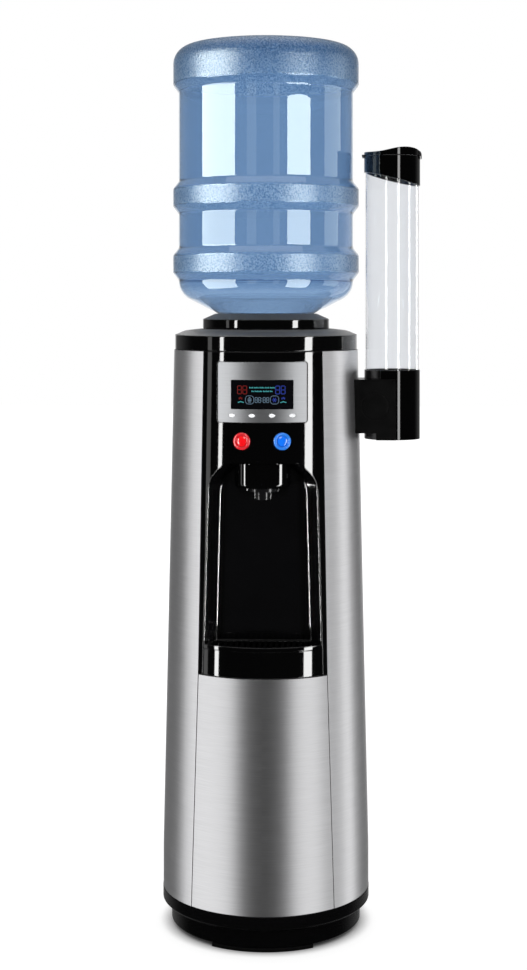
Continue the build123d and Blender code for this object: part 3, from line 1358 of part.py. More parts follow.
def cup_collar():
    """Black ring on top of the cup tube, with a slanted lower edge and two hinge ears."""
    radius = CUP_COLLAR_RADIUS
    left, right = CUP_X - radius, CUP_X + radius
    ring = rod(radius, LID_SPLIT - CUP_COLLAR_RIGHT, LID_SPLIT, CUP_X)
    ring -= rod(SOCKET_INNER, LID_SPLIT - 2 * CUP_COLLAR_RIGHT, CUP_TUBE_TOP + CLEARANCE, CUP_X)
    ring -= rod(CUP_COLLAR_MOUTH, CUP_TUBE_TOP, LID_SPLIT, CUP_X)
    low = LID_SPLIT - 2 * CUP_COLLAR_RIGHT
    slant = Polygon(
        (left, low),
        (right, low),
        (right, LID_SPLIT - CUP_COLLAR_RIGHT),
        (left, LID_SPLIT - CUP_COLLAR_LEFT),
        align=None,
    )
    ring -= extrude(front_plane(0) * slant, REACH, both=True)
    for front, rear in ((-EAR_END, -EAR_START), (EAR_START, EAR_END)):
        ring += hinge_rod(KNUCKLE_RADIUS, front, rear) - rod(SOCKET_INNER, SOCKET_TOP, LID_SPLIT, CUP_X)
    ring -= hinge_rod(KNUCKLE_RADIUS + CLEARANCE, -EAR_START, EAR_START)
    return ring - hinge_rod(PIN_RADIUS, -EAR_END, EAR_END)


def cup_lid():
    """Lid with a waved top, a thumb lip on the right and a hinge knuckle on the left."""
    radius = CUP_COLLAR_RADIUS
    bottom = LID_SPLIT + LID_GAP
    lip_x = radius + CLEARANCE
    edge = lip_x + LID_LIP_WALL
    wave = Spline(
        (-edge, bottom + LID_LEFT),
        (-radius / 2, bottom + LID_DIP),
        (LID_CREST_X, bottom + LID_CREST),
        (edge, bottom),
        tangents=((1, -LID_LEAN), (LID_LEAN, -1)),
    )
    rest = Polyline(
        (edge, bottom), (edge, bottom - LID_LIP_DROP), (lip_x, bottom - LID_LIP_DROP), (lip_x, bottom),
        (-edge, bottom), (-edge, bottom + LID_LEFT))
    profile = extrude(Pos(CUP_X, 0, 0) * front_plane(0) * make_face(wave + rest), REACH, both=True)
    disc = profile & rod(radius, bottom, LID_SPLIT + 2 * LID_CREST, CUP_X)
    lip = profile & rod(edge, bottom - LID_LIP_DROP, LID_SPLIT + 2 * LID_CREST, CUP_X)
    lip &= block(CUP_X + radius / 2, CUP_X + edge, -LID_LIP_HALF, LID_LIP_HALF, 0, LID_SPLIT + 2 * LID_CREST)
    ear_room = hinge_rod(KNUCKLE_RADIUS + CLEARANCE, -EAR_END - CLEARANCE, EAR_END + CLEARANCE)
    knuckle = hinge_rod(KNUCKLE_RADIUS, -KNUCKLE_HALF, KNUCKLE_HALF)
    tab_left = HINGE_X - KNUCKLE_RADIUS
    tab_top = bottom + LID_DIP / 2
    tab = block(tab_left, HINGE_X, -KNUCKLE_HALF, KNUCKLE_HALF, HINGE_Z, tab_top)
    bridge_end = CUP_X - radius + 2 * LID_LIP_WALL
    bridge = block(tab_left, bridge_end, -KNUCKLE_HALF, KNUCKLE_HALF, bottom, tab_top)
    lid = disc + lip - ear_room + knuckle + tab + bridge
    return lid - hinge_rod(PIN_RADIUS + PIN_PLAY, -EAR_END, EAR_END)


def lid_pin():
    """Pin of the lid's hinge."""
    return hinge_rod(PIN_RADIUS, -EAR_END, EAR_END)


def all_parts():
    """Every named piece of the cooler."""
    left_panel, right_panel = side_panels()
    parts = {
        "foot_ring": foot_ring(),
        "base_plinth": base_plinth(),
        "left_side_panel": left_panel,
        "right_side_panel": right_panel,
        "lower_front_panel": lower_front_panel(),
        "front_fascia": front_fascia(),
        "niche_liner": niche_liner(),
        "spout_housing": spout_housing(),
        "spout_nozzle": spout_nozzle(),
        "drip_tray": drip_tray(),
        "drip_grille": drip_grille(),
        "display_bezel": display_bezel(),
        "display_window": display_window(),
        "display_board": display_board(),
        "hot_button_ring": push_ring(-1),
        "cold_button_ring": push_ring(1),
        "hot_button": push_button(-1),
        "cold_button": push_button(1),
        "hot_valve": valve(-1),
        "cold_valve": valve(1),
        "top_cover": top_cover(),
        "bottle_collar": bottle_collar(),
        "feed_probe": feed_probe(),
        "water_bottle": water_bottle(),
        "bottle_cap": bottle_cap(),
        "left_upright": frame_upright(-1),
        "right_upright": frame_upright(1),
        "upper_shelf": upper_shelf(),
        "lower_shelf": lower_shelf(),
        "cold_tank": cold_tank(),
        "cold_tank_foam": foam_sleeve(
            COLD_FOAM_INNER, COLD_FOAM_WALL, COLD_TANK_BOTTOM, COLD_TANK_TOP, COLD_TANK_Y),
        "evaporator_coil": evaporator_coil(),
        "hot_tank": hot_tank(),
        "hot_tank_foam": foam_sleeve(
            HOT_FOAM_INNER, HOT_FOAM_WALL, HOT_TANK_BOTTOM, HOT_TANK_TOP, HOT_TANK_Y),
        "heater_band": heater_band(),
        "thermostat": thermostat(),
        "transfer_pipe": transfer_pipe(),
        "cold_hose": cold_hose(),
        "hot_hose": hot_hose(),
        "compressor": compressor(),
        "compressor_mounts": compressor_mounts(),
        "condenser": condenser(),
        "rear_sheet": rear_sheet(),
        "rear_screws": rear_screws(),
        "cord_gland": cord_gland(),
        "drain_pipe": drain_pipe(),
        "drain_bung": drain_bung(),
        "power_box": power_box(),
        "cup_bracket": cup_bracket(),
        "bracket_screws": bracket_screws(),
        "cup_socket": cup_socket(),
        "cup_retainer": cup_retainer(),
        "cup_tube": cup_tube(),
        "cup_collar": cup_collar(),
        "cup_lid": cup_lid(),
        "lid_pin": lid_pin(),
    }
    for index, x in enumerate(mode_places(), start=1):
        parts[f"mode_button_{index}"] = mode_button(x)
    return parts


os.makedirs("parts", exist_ok=True)
for name, piece in all_parts().items():
    solids = piece if isinstance(piece, list) else [piece]
    shape = solids[0] if len(solids) == 1 else Compound(children=solids)
    export_step(shape, f"parts/{name}.step")
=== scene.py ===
import json
from math import cos, pi, radians, sin, tan

import bmesh
import bpy
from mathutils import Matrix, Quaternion, Vector


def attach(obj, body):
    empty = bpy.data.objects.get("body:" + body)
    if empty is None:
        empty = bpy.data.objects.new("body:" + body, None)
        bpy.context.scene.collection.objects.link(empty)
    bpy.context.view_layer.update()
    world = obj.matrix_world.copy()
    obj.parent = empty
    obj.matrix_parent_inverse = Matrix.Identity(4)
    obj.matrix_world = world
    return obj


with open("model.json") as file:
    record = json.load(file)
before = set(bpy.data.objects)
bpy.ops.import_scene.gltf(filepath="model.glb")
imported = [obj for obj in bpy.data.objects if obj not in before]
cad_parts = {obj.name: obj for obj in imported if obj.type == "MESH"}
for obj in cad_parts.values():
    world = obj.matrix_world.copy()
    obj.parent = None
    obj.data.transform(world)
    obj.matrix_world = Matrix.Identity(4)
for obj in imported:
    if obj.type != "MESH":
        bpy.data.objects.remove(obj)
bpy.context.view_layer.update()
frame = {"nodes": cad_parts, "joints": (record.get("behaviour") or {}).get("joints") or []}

# Water cooler, dressed for a studio picture. Metres, with +Z up and the front towards -Y.

NODES = frame["nodes"]
JOINTS = {joint["name"]: joint for joint in frame["joints"]}
MM = 0.001

# Camera
CAMERA_DISTANCE = 2.465
CAMERA_HEIGHT = 0.896
CAMERA_AZIMUTH = 2.4
CAMERA_LENS = 62.72
CAMERA_SHIFT = (-0.0026, -0.1887)

# Cabinet skin, as the display and its graphics follow it
SKIN_LOW = 0.149
SKIN_HIGH = 0.1336
SKIRT_TOP = 0.1095
STEEL_TOP = 0.827
SKIN_LEAN = (SKIN_LOW - SKIN_HIGH) / (STEEL_TOP - SKIRT_TOP)
WINDOW_INSET = 0.9 * MM

# How nearly a face has to point the skin's way or upwards to count as skin or as a top
SKIN_FACING = (0.95, 0.98)
TOP_FACING = (0.3, 0.6)

# Lit plates of the display: how far they stand out of the window and go into it, and their corners
PLATE_LIFT = 0.12 * MM
PLATE_SINK = 0.2 * MM
TIP_INSET = 0.3
CORNER_CUT = 0.22

# Rows of the display, as heights in millimetres, and the dashes in each word of the word rows
TEMPERATURE_ROW = 769.0
CLOCK_ROW = 757.2
SIGN_ROW = 755.2
WORD_ROWS = ((776.8, (3, 4, 4, 3, 4)), (771.8, (2, 6, 5, 2)))

# Push buttons, and the profiles of their trim as (radius, distance) in millimetres
PUSH_HEIGHT = 0.7036
PUSH_RADIUS = 0.1352
PUSH_SIDES = 64
LIP_PROFILE = (
    (8.1, 0.9), (8.15, 1.7), (8.5, 2.3), (9.3, 2.6),
    (10.4, 2.5), (11.3, 2.0), (11.85, 1.2), (11.95, 0.6),
)
FACE_PROFILE = (
    (7.2, 0.4), (7.25, 1.0), (6.9, 1.35), (6.0, 1.75),
    (4.8, 2.1), (3.4, 2.38), (1.8, 2.54), (0.5, 2.58),
)

# Bottle: heights of its pebbled bands, where the crown deepens and where the painted light on the shoulder
# ends
PEBBLE_BANDS = ((0.9385, 0.9635), (1.0350, 1.0600), (1.2115, 1.3000))
BAND_EDGE = 2 * MM
CROWN = (1.222, 1.256)
PAINTED_SHOULDER_LIGHT = (0.908, 0.922)
PEBBLE_SCALE = 430.0
PEBBLE_ROUGH = 0.29
CLEAR_ROUGH = 0.012

# Bottle: its plain tone, how much darker the walls above the shoulder's painted light and then the crown
# are, and the painted sparkle and shade of the pebbles
PLAIN_TONE = 0.67
TONE_DROP = -0.20
PAINTED_SPARKLE_TONES = (-0.62, 0.72)
PAINTED_SPARKLE_SOURCE = (0.36, 0.64)

# Heights that the lights span
STRIP_HEIGHTS = (-0.7, 1.3)
NICHE_HEIGHTS = (-0.05, 0.55)
PANEL_HEIGHTS = (-3.0, 1.8)
SKY_HEIGHTS = (0.2, 1.7)
CUP_HEIGHTS = (-0.2, 1.7)
WINDOW_SPLIT = 1.11
LEFT_WINDOW_TOP = 1.75
RIGHT_WINDOW_TOP = 1.33

# Distances and tints of the lights, and spans as azimuths from the camera in degrees
LIGHT_DISTANCE = 2.0
WINDOW_DISTANCE = 1.3
LEFT_WINDOW = (-88.2, -39.0)
RIGHT_WINDOW = (26.3, 57.1)
CUP_HALF_SPAN = 4.5
COOL = (0.88, 1.0, 1.0)
NEUTRAL = (1.0, 1.0, 1.0)

# Light of the studio from behind, from above and from all round
STUDIO_BEHIND = 0.14
STUDIO_ABOVE = 0.30
STUDIO_AROUND = 0.015

# Floor: its glow near the cooler and far off, the distances over which that changes, and the reach of its
# painted contact shadow
FLOOR_HALF = 12.0
FLOOR_DROP = 0.4 * MM
FLOOR_GLOW = (0.78, 1.0)
FLOOR_FADE = (0.6, 2.0)
PAINTED_SHADOW_REACH = 20 * MM

# Level and upright shares of a vector, and plain white
LEVEL = (1.0, 1.0, 0.0)
UPRIGHT = (0.0, 0.0, 1.0)
WHITE = (1.0, 1.0, 1.0, 1.0)


def skin_radius(z):
    """Radius of the cabinet skin above its skirt."""
    return SKIN_LOW - SKIN_LEAN * (z - SKIRT_TOP)


# Node helpers


def new_material(name):
    """Empty Principled material, its tree and its shader."""
    material = bpy.data.materials.new(name)
    material.use_nodes = True
    tree = material.node_tree
    return material, tree, tree.nodes["Principled BSDF"]


def add(tree, kind, **settings):
    """New node with some of its properties set."""
    node = tree.nodes.new(kind)
    for key, value in settings.items():
        setattr(node, key, value)
    return node


def fill(tree, socket, value):
    """Set a socket to a constant or link another socket to it; None leaves it as it is."""
    if isinstance(value, (int, float, tuple)):
        socket.default_value = value
    elif value is not None:
        tree.links.new(value, socket)


def calc(tree, operation, first, second=None):
    """Result of a math node on values or sockets."""
    node = add(tree, "ShaderNodeMath", operation=operation)
    fill(tree, node.inputs[0], first)
    fill(tree, node.inputs[1], second)
    return node.outputs[0]


def summed(tree, *values):
    """Sum of several values or sockets."""
    total = values[0]
    for value in values[1:]:
        total = calc(tree, "ADD", total, value)
    return total


def vector_node(tree, operation, first, second=None):
    """Vector math node on sockets or plain vectors."""
    node = add(tree, "ShaderNodeVectorMath", operation=operation)
    fill(tree, node.inputs[0], first)
    fill(tree, node.inputs[1], second)
    return node


def vector(tree, operation, first, second=None):
    """Vector that a vector math node gives."""
    return vector_node(tree, operation, first, second).outputs[0]


def measure(tree, operation, first, second=None):
    """Number that a vector math node gives, such as a length."""
    return vector_node(tree, operation, first, second).outputs[1]


def scaled(tree, arrow, factor):
    """Vector times a value."""
    node = vector_node(tree, "SCALE", arrow)
    tree.links.new(factor, node.inputs["Scale"])
    return node.outputs[0]


def components(tree, arrow):
    """X, Y and Z of a vector."""
    node = add(tree, "ShaderNodeSeparateXYZ")
    tree.links.new(arrow, node.inputs[0])
    return node.outputs["X"], node.outputs["Y"], node.outputs["Z"]


def object_place(tree):
    """Place on the object in metres."""
    return add(tree, "ShaderNodeTexCoord").outputs["Object"]


def noise(tree, place, scale, detail=3.0, rough=0.55):
    """Noise value at a place."""
    node = add(tree, "ShaderNodeTexNoise")
    node.inputs["Scale"].default_value = scale
    node.inputs["Detail"].default_value = detail
    node.inputs["Roughness"].default_value = rough
    tree.links.new(place, node.inputs["Vector"])
    return node.outputs["Fac"]


def spread(tree, value, low, high, start=0.3, end=0.7, kind="LINEAR"):
    """Value mapped from a source range to a target range."""
    node = add(tree, "ShaderNodeMapRange", interpolation_type=kind)
    node.inputs["From Min"].default_value = start
    node.inputs["From Max"].default_value = end
    node.inputs["To Min"].default_value = low
    node.inputs["To Max"].default_value = high
    tree.links.new(value, node.inputs["Value"])
    return node.outputs["Result"]


def step(tree, value, start, end):
    """Smooth step from 0 to 1 between two values."""
    return spread(tree, value, 0.0, 1.0, start, end, "SMOOTHSTEP")


def colour_socket(sockets, name):
    """Colour socket of a Mix node, which has sockets of other types by the same name."""
    return next(socket for socket in sockets if socket.name == name and socket.type == "RGBA")


def two_tones(tree, value, dark, light):
    """Colour between two tones or colour sockets by a value."""
    node = add(tree, "ShaderNodeMix", data_type="RGBA")
    for name, tone in (("A", dark), ("B", light)):
        plain = isinstance(tone, (tuple, list))
        fill(tree, colour_socket(node.inputs, name), (*tone, 1.0) if plain else tone)
    tree.links.new(value, node.inputs["Factor"])
    return colour_socket(node.outputs, "Result")


def rounded(tree, radius, samples=16):
    """Normal with rounded edges."""
    node = add(tree, "ShaderNodeBevel", samples=samples)
    node.inputs["Radius"].default_value = radius
    return node.outputs["Normal"]


def skin_normal(tree, edge):
    """Normal of the cabinet's true cone on its skin faces, with rounded edges."""
    geometry = add(tree, "ShaderNodeNewGeometry")
    radial = vector(tree, "NORMALIZE", vector(tree, "MULTIPLY", object_place(tree), LEVEL))
    cone = vector(tree, "NORMALIZE", vector(tree, "ADD", radial, (0.0, 0.0, SKIN_LEAN)))
    facing = measure(tree, "DOT_PRODUCT", geometry.outputs["True Normal"], cone)
    on_skin = step(tree, facing, *SKIN_FACING)
    change = vector(tree, "SUBTRACT", cone, geometry.outputs["Normal"])
    mended = vector(tree, "ADD", rounded(tree, edge, 6), scaled(tree, change, on_skin))
    return vector(tree, "NORMALIZE", mended)


def turned_normal(tree, centre):
    """Normal of a turned piece, held exactly radial about its upright axis."""
    normal = add(tree, "ShaderNodeNewGeometry").outputs["Normal"]
    away = vector(tree, "SUBTRACT", object_place(tree), centre)
    radial = vector(tree, "NORMALIZE", vector(tree, "MULTIPLY", away, LEVEL))
    rise = vector(tree, "MULTIPLY", normal, UPRIGHT)
    run = measure(tree, "LENGTH", vector(tree, "MULTIPLY", normal, LEVEL))
    side = calc(tree, "SIGN", measure(tree, "DOT_PRODUCT", normal, radial))
    return vector(tree, "ADD", scaled(tree, radial, calc(tree, "MULTIPLY", run, side)), rise)


def bump(tree, bsdf, height, strength, distance, under):
    """Bump over a normal, for a shader and its coat."""
    node = add(tree, "ShaderNodeBump")
    node.inputs["Strength"].default_value = strength
    node.inputs["Distance"].default_value = distance
    tree.links.new(height, node.inputs["Height"])
    tree.links.new(under, node.inputs["Normal"])
    for name in ("Normal", "Coat Normal"):
        tree.links.new(node.outputs["Normal"], bsdf.inputs[name])


# Materials


def moulded(name, tones, rough, coat=0.0, grain=900.0, depth=0.02, edge=0.6 * MM, specular=0.5, skin=False):
    """Moulded plastic with a faint grain, uneven tone and rounded edges."""
    material, tree, bsdf = new_material(name)
    place = object_place(tree)
    cloud = noise(tree, place, 18.0)
    smudge = noise(tree, place, 42.0, 5.0, 0.65)
    tree.links.new(two_tones(tree, cloud, *tones), bsdf.inputs["Base Color"])
    tree.links.new(spread(tree, smudge, rough * 0.85, rough * 1.25), bsdf.inputs["Roughness"])
    bsdf.inputs["Specular IOR Level"].default_value = specular
    bsdf.inputs["Coat Weight"].default_value = coat
    bsdf.inputs["Coat Roughness"].default_value = 0.02
    under = skin_normal(tree, edge) if skin else rounded(tree, edge)
    bump(tree, bsdf, noise(tree, place, grain, 2.0), depth, 0.4 * MM, under)
    return material


def satin_with_painted_top_light(name, tones, rough, painted_top_light, top_rough):
    """Glossy moulded plastic with satin upper faces that are painted paler, as painted light from above."""
    material = moulded(name, tones, rough, grain=300.0, depth=0.004, edge=1.6 * MM, specular=0.8)
    tree = material.node_tree
    bsdf = tree.nodes["Principled BSDF"]
    upward = components(tree, add(tree, "ShaderNodeNewGeometry").outputs["True Normal"])[2]
    on_top = step(tree, upward, *TOP_FACING)
    # Painted light: upper faces get a paler tone, as if lit from above, and a rougher satin finish
    tone = bsdf.inputs["Base Color"].links[0].from_socket
    tree.links.new(two_tones(tree, on_top, tone, painted_top_light), bsdf.inputs["Base Color"])
    polish = bsdf.inputs["Roughness"].links[0].from_socket
    satin = summed(tree, polish, calc(tree, "MULTIPLY", on_top, top_rough))
    tree.links.new(satin, bsdf.inputs["Roughness"])
    return material


def brushed(name, tone, rough, edge=0.8 * MM, depth=0.06):
    """Brushed metal with fine lines round the cabinet."""
    material, tree, bsdf = new_material(name)
    x, y, z = components(tree, object_place(tree))
    around = add(tree, "ShaderNodeCombineXYZ")
    tree.links.new(calc(tree, "ARCTAN2", x, y), around.inputs["X"])
    tree.links.new(z, around.inputs["Z"])
    fine = noise(tree, vector(tree, "MULTIPLY", around.outputs[0], (3.0, 1.0, 900.0)), 1.0, 4.0, 0.7)
    broad = noise(tree, vector(tree, "MULTIPLY", around.outputs[0], (1.4, 1.0, 160.0)), 1.0, 3.0, 0.6)
    lines = summed(tree, calc(tree, "MULTIPLY", fine, 0.75), calc(tree, "MULTIPLY", broad, 0.25))
    dark = [channel * 0.92 for channel in tone]
    light = [min(1.0, channel * 1.06) for channel in tone]
    contrast = spread(tree, lines, 0.0, 1.0, 0.35, 0.65)
    tree.links.new(two_tones(tree, contrast, dark, light), bsdf.inputs["Base Color"])
    tree.links.new(spread(tree, lines, rough * 0.9, rough * 1.12), bsdf.inputs["Roughness"])
    bsdf.inputs["Metallic"].default_value = 1.0
    bump(tree, bsdf, fine, depth, 0.2 * MM, skin_normal(tree, edge))
    return material


def metal(name, tone, rough):
    """Plain metal with uneven polish."""
    material, tree, bsdf = new_material(name)
    place = object_place(tree)
    cloud = noise(tree, place, 60.0, 4.0, 0.6)
    dark = [channel * 0.94 for channel in tone]
    tree.links.new(two_tones(tree, cloud, dark, tone), bsdf.inputs["Base Color"])
    tree.links.new(spread(tree, cloud, rough * 0.92, rough * 1.1), bsdf.inputs["Roughness"])
    bsdf.inputs["Metallic"].default_value = 1.0
    bump(tree, bsdf, noise(tree, place, 300.0, 2.0), 0.05, 0.3 * MM, rounded(tree, 0.4 * MM))
    return material


def glow(name, colour, strength):
    """Lit segment of the display, with a slightly uneven glow."""
    material, tree, bsdf = new_material(name)
    dim = [channel * 0.75 for channel in colour]
    cloud = noise(tree, object_place(tree), 260.0)
    tree.links.new(two_tones(tree, cloud, dim, colour), bsdf.inputs["Emission Color"])
    bsdf.inputs["Emission Strength"].default_value = strength
    bsdf.inputs["Base Color"].default_value = (0.01, 0.01, 0.012, 1.0)
    bsdf.inputs["Roughness"].default_value = 0.25
    return material


def band_mask(tree, height):
    """1 on the pebbled bands of the bottle and 0 between them."""
    bands = []
    for low, high in PEBBLE_BANDS:
        rise = step(tree, height, low - BAND_EDGE, low + BAND_EDGE)
        fall = step(tree, height, high - BAND_EDGE, high + BAND_EDGE)
        bands.append(calc(tree, "SUBTRACT", rise, fall))
    return summed(tree, *bands)


def bottle_plastic():
    """Clear blue polycarbonate with pebbled bands carrying painted sparkle and shade, a deeper crown and a
    shoulder painted paler as painted light from below.
    """
    material, tree, bsdf = new_material("bottle_polycarbonate")
    place = object_place(tree)
    height = components(tree, place)[2]
    mask = band_mask(tree, height)
    pebbles = noise(tree, place, PEBBLE_SCALE, 1.0)
    ripple = noise(tree, vector(tree, "MULTIPLY", place, (1.0, 1.0, 0.25)), 26.0, 2.0)
    relief = summed(tree, calc(tree, "MULTIPLY", pebbles, mask), calc(tree, "MULTIPLY", ripple, 0.04))
    # Painted sparkle and shade: the pebble tops are painted lighter and their hollows darker
    painted_sparkle = calc(tree, "MULTIPLY", spread(tree, pebbles, *PAINTED_SPARKLE_TONES, *PAINTED_SPARKLE_SOURCE), mask)
    # Painted light: below the shoulder the tone stays paler, as if lit from below, and the walls above are
    # darker
    shoulder_painted_light = calc(tree, "MULTIPLY", step(tree, height, *PAINTED_SHOULDER_LIGHT), TONE_DROP)
    on_crown = calc(tree, "MULTIPLY", step(tree, height, *CROWN), TONE_DROP)
    plain = summed(tree, calc(tree, "MULTIPLY", ripple, 0.06), PLAIN_TONE)
    tone = summed(tree, plain, on_crown, shoulder_painted_light, painted_sparkle)
    blue = two_tones(tree, tone, (0.105, 0.2425, 0.440), (0.645, 0.7825, 0.940))
    tree.links.new(blue, bsdf.inputs["Base Color"])
    tree.links.new(spread(tree, mask, CLEAR_ROUGH, PEBBLE_ROUGH, 0.0, 1.0), bsdf.inputs["Roughness"])
    bsdf.inputs["Transmission Weight"].default_value = 1.0
    bsdf.inputs["IOR"].default_value = 1.55
    bump(tree, bsdf, relief, 0.8, 0.6 * MM, turned_normal(tree, (0.0, 0.0, 0.0)))
    return material


def clear_acrylic():
    """Almost clear tube, faintly streaked along its length."""
    material, tree, bsdf = new_material("clear_acrylic")
    streaks = noise(tree, vector(tree, "MULTIPLY", object_place(tree), (90.0, 90.0, 0.8)), 1.0, 2.0)
    tint = two_tones(tree, streaks, (0.860, 0.870, 0.890), (0.890, 0.900, 0.915))
    tree.links.new(tint, bsdf.inputs["Base Color"])
    tree.links.new(spread(tree, streaks, 0.01, 0.04), bsdf.inputs["Roughness"])
    bsdf.inputs["Transmission Weight"].default_value = 1.0
    bsdf.inputs["IOR"].default_value = 1.35
    corners = [Vector(corner) for corner in NODES["cup_tube"].bound_box]
    centre = sum(corners, Vector()) / len(corners)
    tree.links.new(turned_normal(tree, tuple(centre)), bsdf.inputs["Normal"])
    return material


def make_materials():
    """Materials of every surface, by look."""
    ink = ((0.0006, 0.0006, 0.0007), (0.0014, 0.0014, 0.0016))
    cover_tones = ((0.0010, 0.0010, 0.0011), (0.0020, 0.0020, 0.0022))
    bracket_tones = ((0.003, 0.003, 0.003), (0.005, 0.005, 0.005))
    matte_tones = ((0.010, 0.010, 0.011), (0.016, 0.016, 0.018))
    plinth_tones = ((0.006, 0.006, 0.007), (0.010, 0.010, 0.011))
    glass_tones = ((0.003, 0.003, 0.004), (0.005, 0.005, 0.007))
    circuit_tones = ((0.012, 0.07, 0.035), (0.02, 0.10, 0.05))
    red_tones = ((0.80, 0.004, 0.008), (0.90, 0.010, 0.014))
    blue_tones = ((0.004, 0.150, 0.85), (0.010, 0.190, 0.95))
    red_ring_tones = ((0.58, 0.015, 0.022), (0.70, 0.028, 0.036))
    blue_ring_tones = ((0.020, 0.18, 0.72), (0.035, 0.23, 0.82))
    key_tones = ((0.82, 0.83, 0.85), (0.90, 0.91, 0.92))
    white_tones = ((0.62, 0.61, 0.58), (0.72, 0.71, 0.68))
    cap_tones = ((0.06, 0.17, 0.42), (0.09, 0.22, 0.50))
    enamel_tones = ((0.010, 0.010, 0.010), (0.016, 0.016, 0.016))
    rubber_tones = ((0.016, 0.016, 0.016), (0.024, 0.024, 0.024))
    hose_tones = ((0.60, 0.60, 0.57), (0.70, 0.70, 0.66))
    foam_tones = ((0.70, 0.69, 0.64), (0.82, 0.81, 0.76))
    polished = {"coat": 0.6, "grain": 300.0}
    pushed = {"coat": 0.6, "grain": 700.0, "depth": 0.01}
    return {
        "steel": brushed("brushed_steel", (0.62, 0.62, 0.63), 0.36),
        "gloss": moulded("black_gloss", ink, 0.045, depth=0.004, edge=1.6 * MM, **polished),
        "front": moulded("black_front", ink, 0.045, depth=0.004, edge=2.0 * MM, skin=True, **polished),
        "liner": moulded("black_liner", ink, 0.05, depth=0.002, edge=4.0 * MM, **polished),
        # The cover's upper faces are painted paler, as painted light from above
        "cover": satin_with_painted_top_light("black_cover", cover_tones, 0.045, (0.018, 0.018, 0.018), 0.5),
        "bracket": moulded("black_bracket", bracket_tones, 0.30, edge=0.3 * MM, specular=0.25),
        "matte": moulded("black_grained", matte_tones, 0.34, grain=1400.0, depth=0.10),
        "plinth": moulded("black_satin", plinth_tones, 0.18, grain=1100.0, depth=0.04, edge=1.0 * MM),
        "bezel": brushed("silver_bezel", (0.58, 0.59, 0.605), 0.40, 0.4 * MM, 0.03),
        "glass": moulded("display_glass", glass_tones, 0.06, grain=200.0, depth=0.003, edge=0.4 * MM,
                         specular=0.25, skin=True),
        "circuit": moulded("circuit_board", circuit_tones, 0.35),
        "red": moulded("red_plastic", red_tones, 0.10, **pushed),
        "blue": moulded("blue_plastic", blue_tones, 0.10, **pushed),
        "red_ring": moulded("red_ring_plastic", red_ring_tones, 0.10, **pushed),
        "blue_ring": moulded("blue_ring_plastic", blue_ring_tones, 0.10, **pushed),
        "key": moulded("silver_key", key_tones, 0.25, coat=0.3),
        "white": moulded("white_moulding", white_tones, 0.4),
        "cap": moulded("blue_cap", cap_tones, 0.4),
        "bottle": bottle_plastic(),
        "tube": clear_acrylic(),
        "sheet": metal("plated_sheet", (0.42, 0.43, 0.44), 0.42),
        "tank": metal("stainless_sheet", (0.58, 0.58, 0.57), 0.30),
        "copper": metal("copper_tube", (0.70, 0.34, 0.20), 0.30),
        "zinc": metal("zinc_plating", (0.62, 0.61, 0.58), 0.28),
        "enamel": moulded("black_enamel", enamel_tones, 0.28, coat=0.1, grain=600.0, depth=0.05),
        "rubber": moulded("black_rubber", rubber_tones, 0.62, grain=1600.0, depth=0.15),
        "hose": moulded("silicone_hose", hose_tones, 0.45),
        "foam": moulded("white_foam", foam_tones, 0.8, grain=260.0, depth=0.6),
        "lit_red": glow("lit_red", (0.55, 0.03, 0.02), 0.40),
        "lit_blue": glow("lit_blue", (0.05, 0.10, 0.70), 0.55),
        "lit_teal": glow("lit_teal", (0.10, 0.60, 0.62), 0.75),
        "lit_pale": glow("lit_pale", (0.35, 0.55, 0.75), 0.42),
    }


NODE_LOOKS = {
    "foot_ring": "rubber",
    "base_plinth": "plinth",
    "left_side_panel": "steel",
    "right_side_panel": "steel",
    "lower_front_panel": "steel",
    "front_fascia": "front",
    "niche_liner": "liner",
    "spout_housing": "gloss",
    "spout_nozzle": "plinth",
    "drip_tray": "front",
    "drip_grille": "gloss",
    "display_bezel": "bezel",
    "display_window": "glass",
    "display_board": "circuit",
    "hot_button_ring": "red_ring",
    "cold_button_ring": "blue_ring",
    "hot_button": "red",
    "cold_button": "blue",
    "hot_valve": "white",
    "cold_valve": "white",
    "top_cover": "cover",
    "bottle_collar": "cover",
    "feed_probe": "white",
    "water_bottle": "bottle",
    "bottle_cap": "cap",
    "left_upright": "sheet",
    "right_upright": "sheet",
    "upper_shelf": "sheet",
    "lower_shelf": "sheet",
    "cold_tank": "tank",
    "cold_tank_foam": "foam",
    "evaporator_coil": "copper",
    "hot_tank": "tank",
    "hot_tank_foam": "foam",
    "heater_band": "tank",
    "thermostat": "matte",
    "transfer_pipe": "tank",
    "cold_hose": "hose",
    "hot_hose": "hose",
    "compressor": "enamel",
    "compressor_mounts": "rubber",
    "condenser": "enamel",
    "rear_sheet": "sheet",
    "rear_screws": "zinc",
    "cord_gland": "matte",
    "drain_pipe": "hose",
    "drain_bung": "rubber",
    "power_box": "matte",
    "cup_bracket": "bracket",
    "bracket_screws": "zinc",
    "cup_socket": "gloss",
    "cup_retainer": "matte",
    "cup_tube": "tube",
    "cup_collar": "gloss",
    "cup_lid": "gloss",
    "lid_pin": "zinc",
    "mode_button_1": "key",
    "mode_button_2": "key",
    "mode_button_3": "key",
    "mode_button_4": "key",
}


def dress_nodes(looks):
    """Give every CAD node its material."""
    for name, node in NODES.items():
        node.data.materials.clear()
        node.data.materials.append(looks[NODE_LOOKS[name]])


# Pieces


def finish_piece(name, mesh, material, body):
    """Object from a mesh, riding on a body."""
    piece = bpy.data.objects.new(name, mesh)
    bpy.context.scene.collection.objects.link(piece)
    mesh.materials.append(material)
    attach(piece, body)


def on_window(u, z, lift):
    """Point on the display window, at a distance across it and a height."""
    radius = skin_radius(z) - WINDOW_INSET + lift
    angle = u / radius
    return Vector((radius * sin(angle), -radius * cos(angle), z))


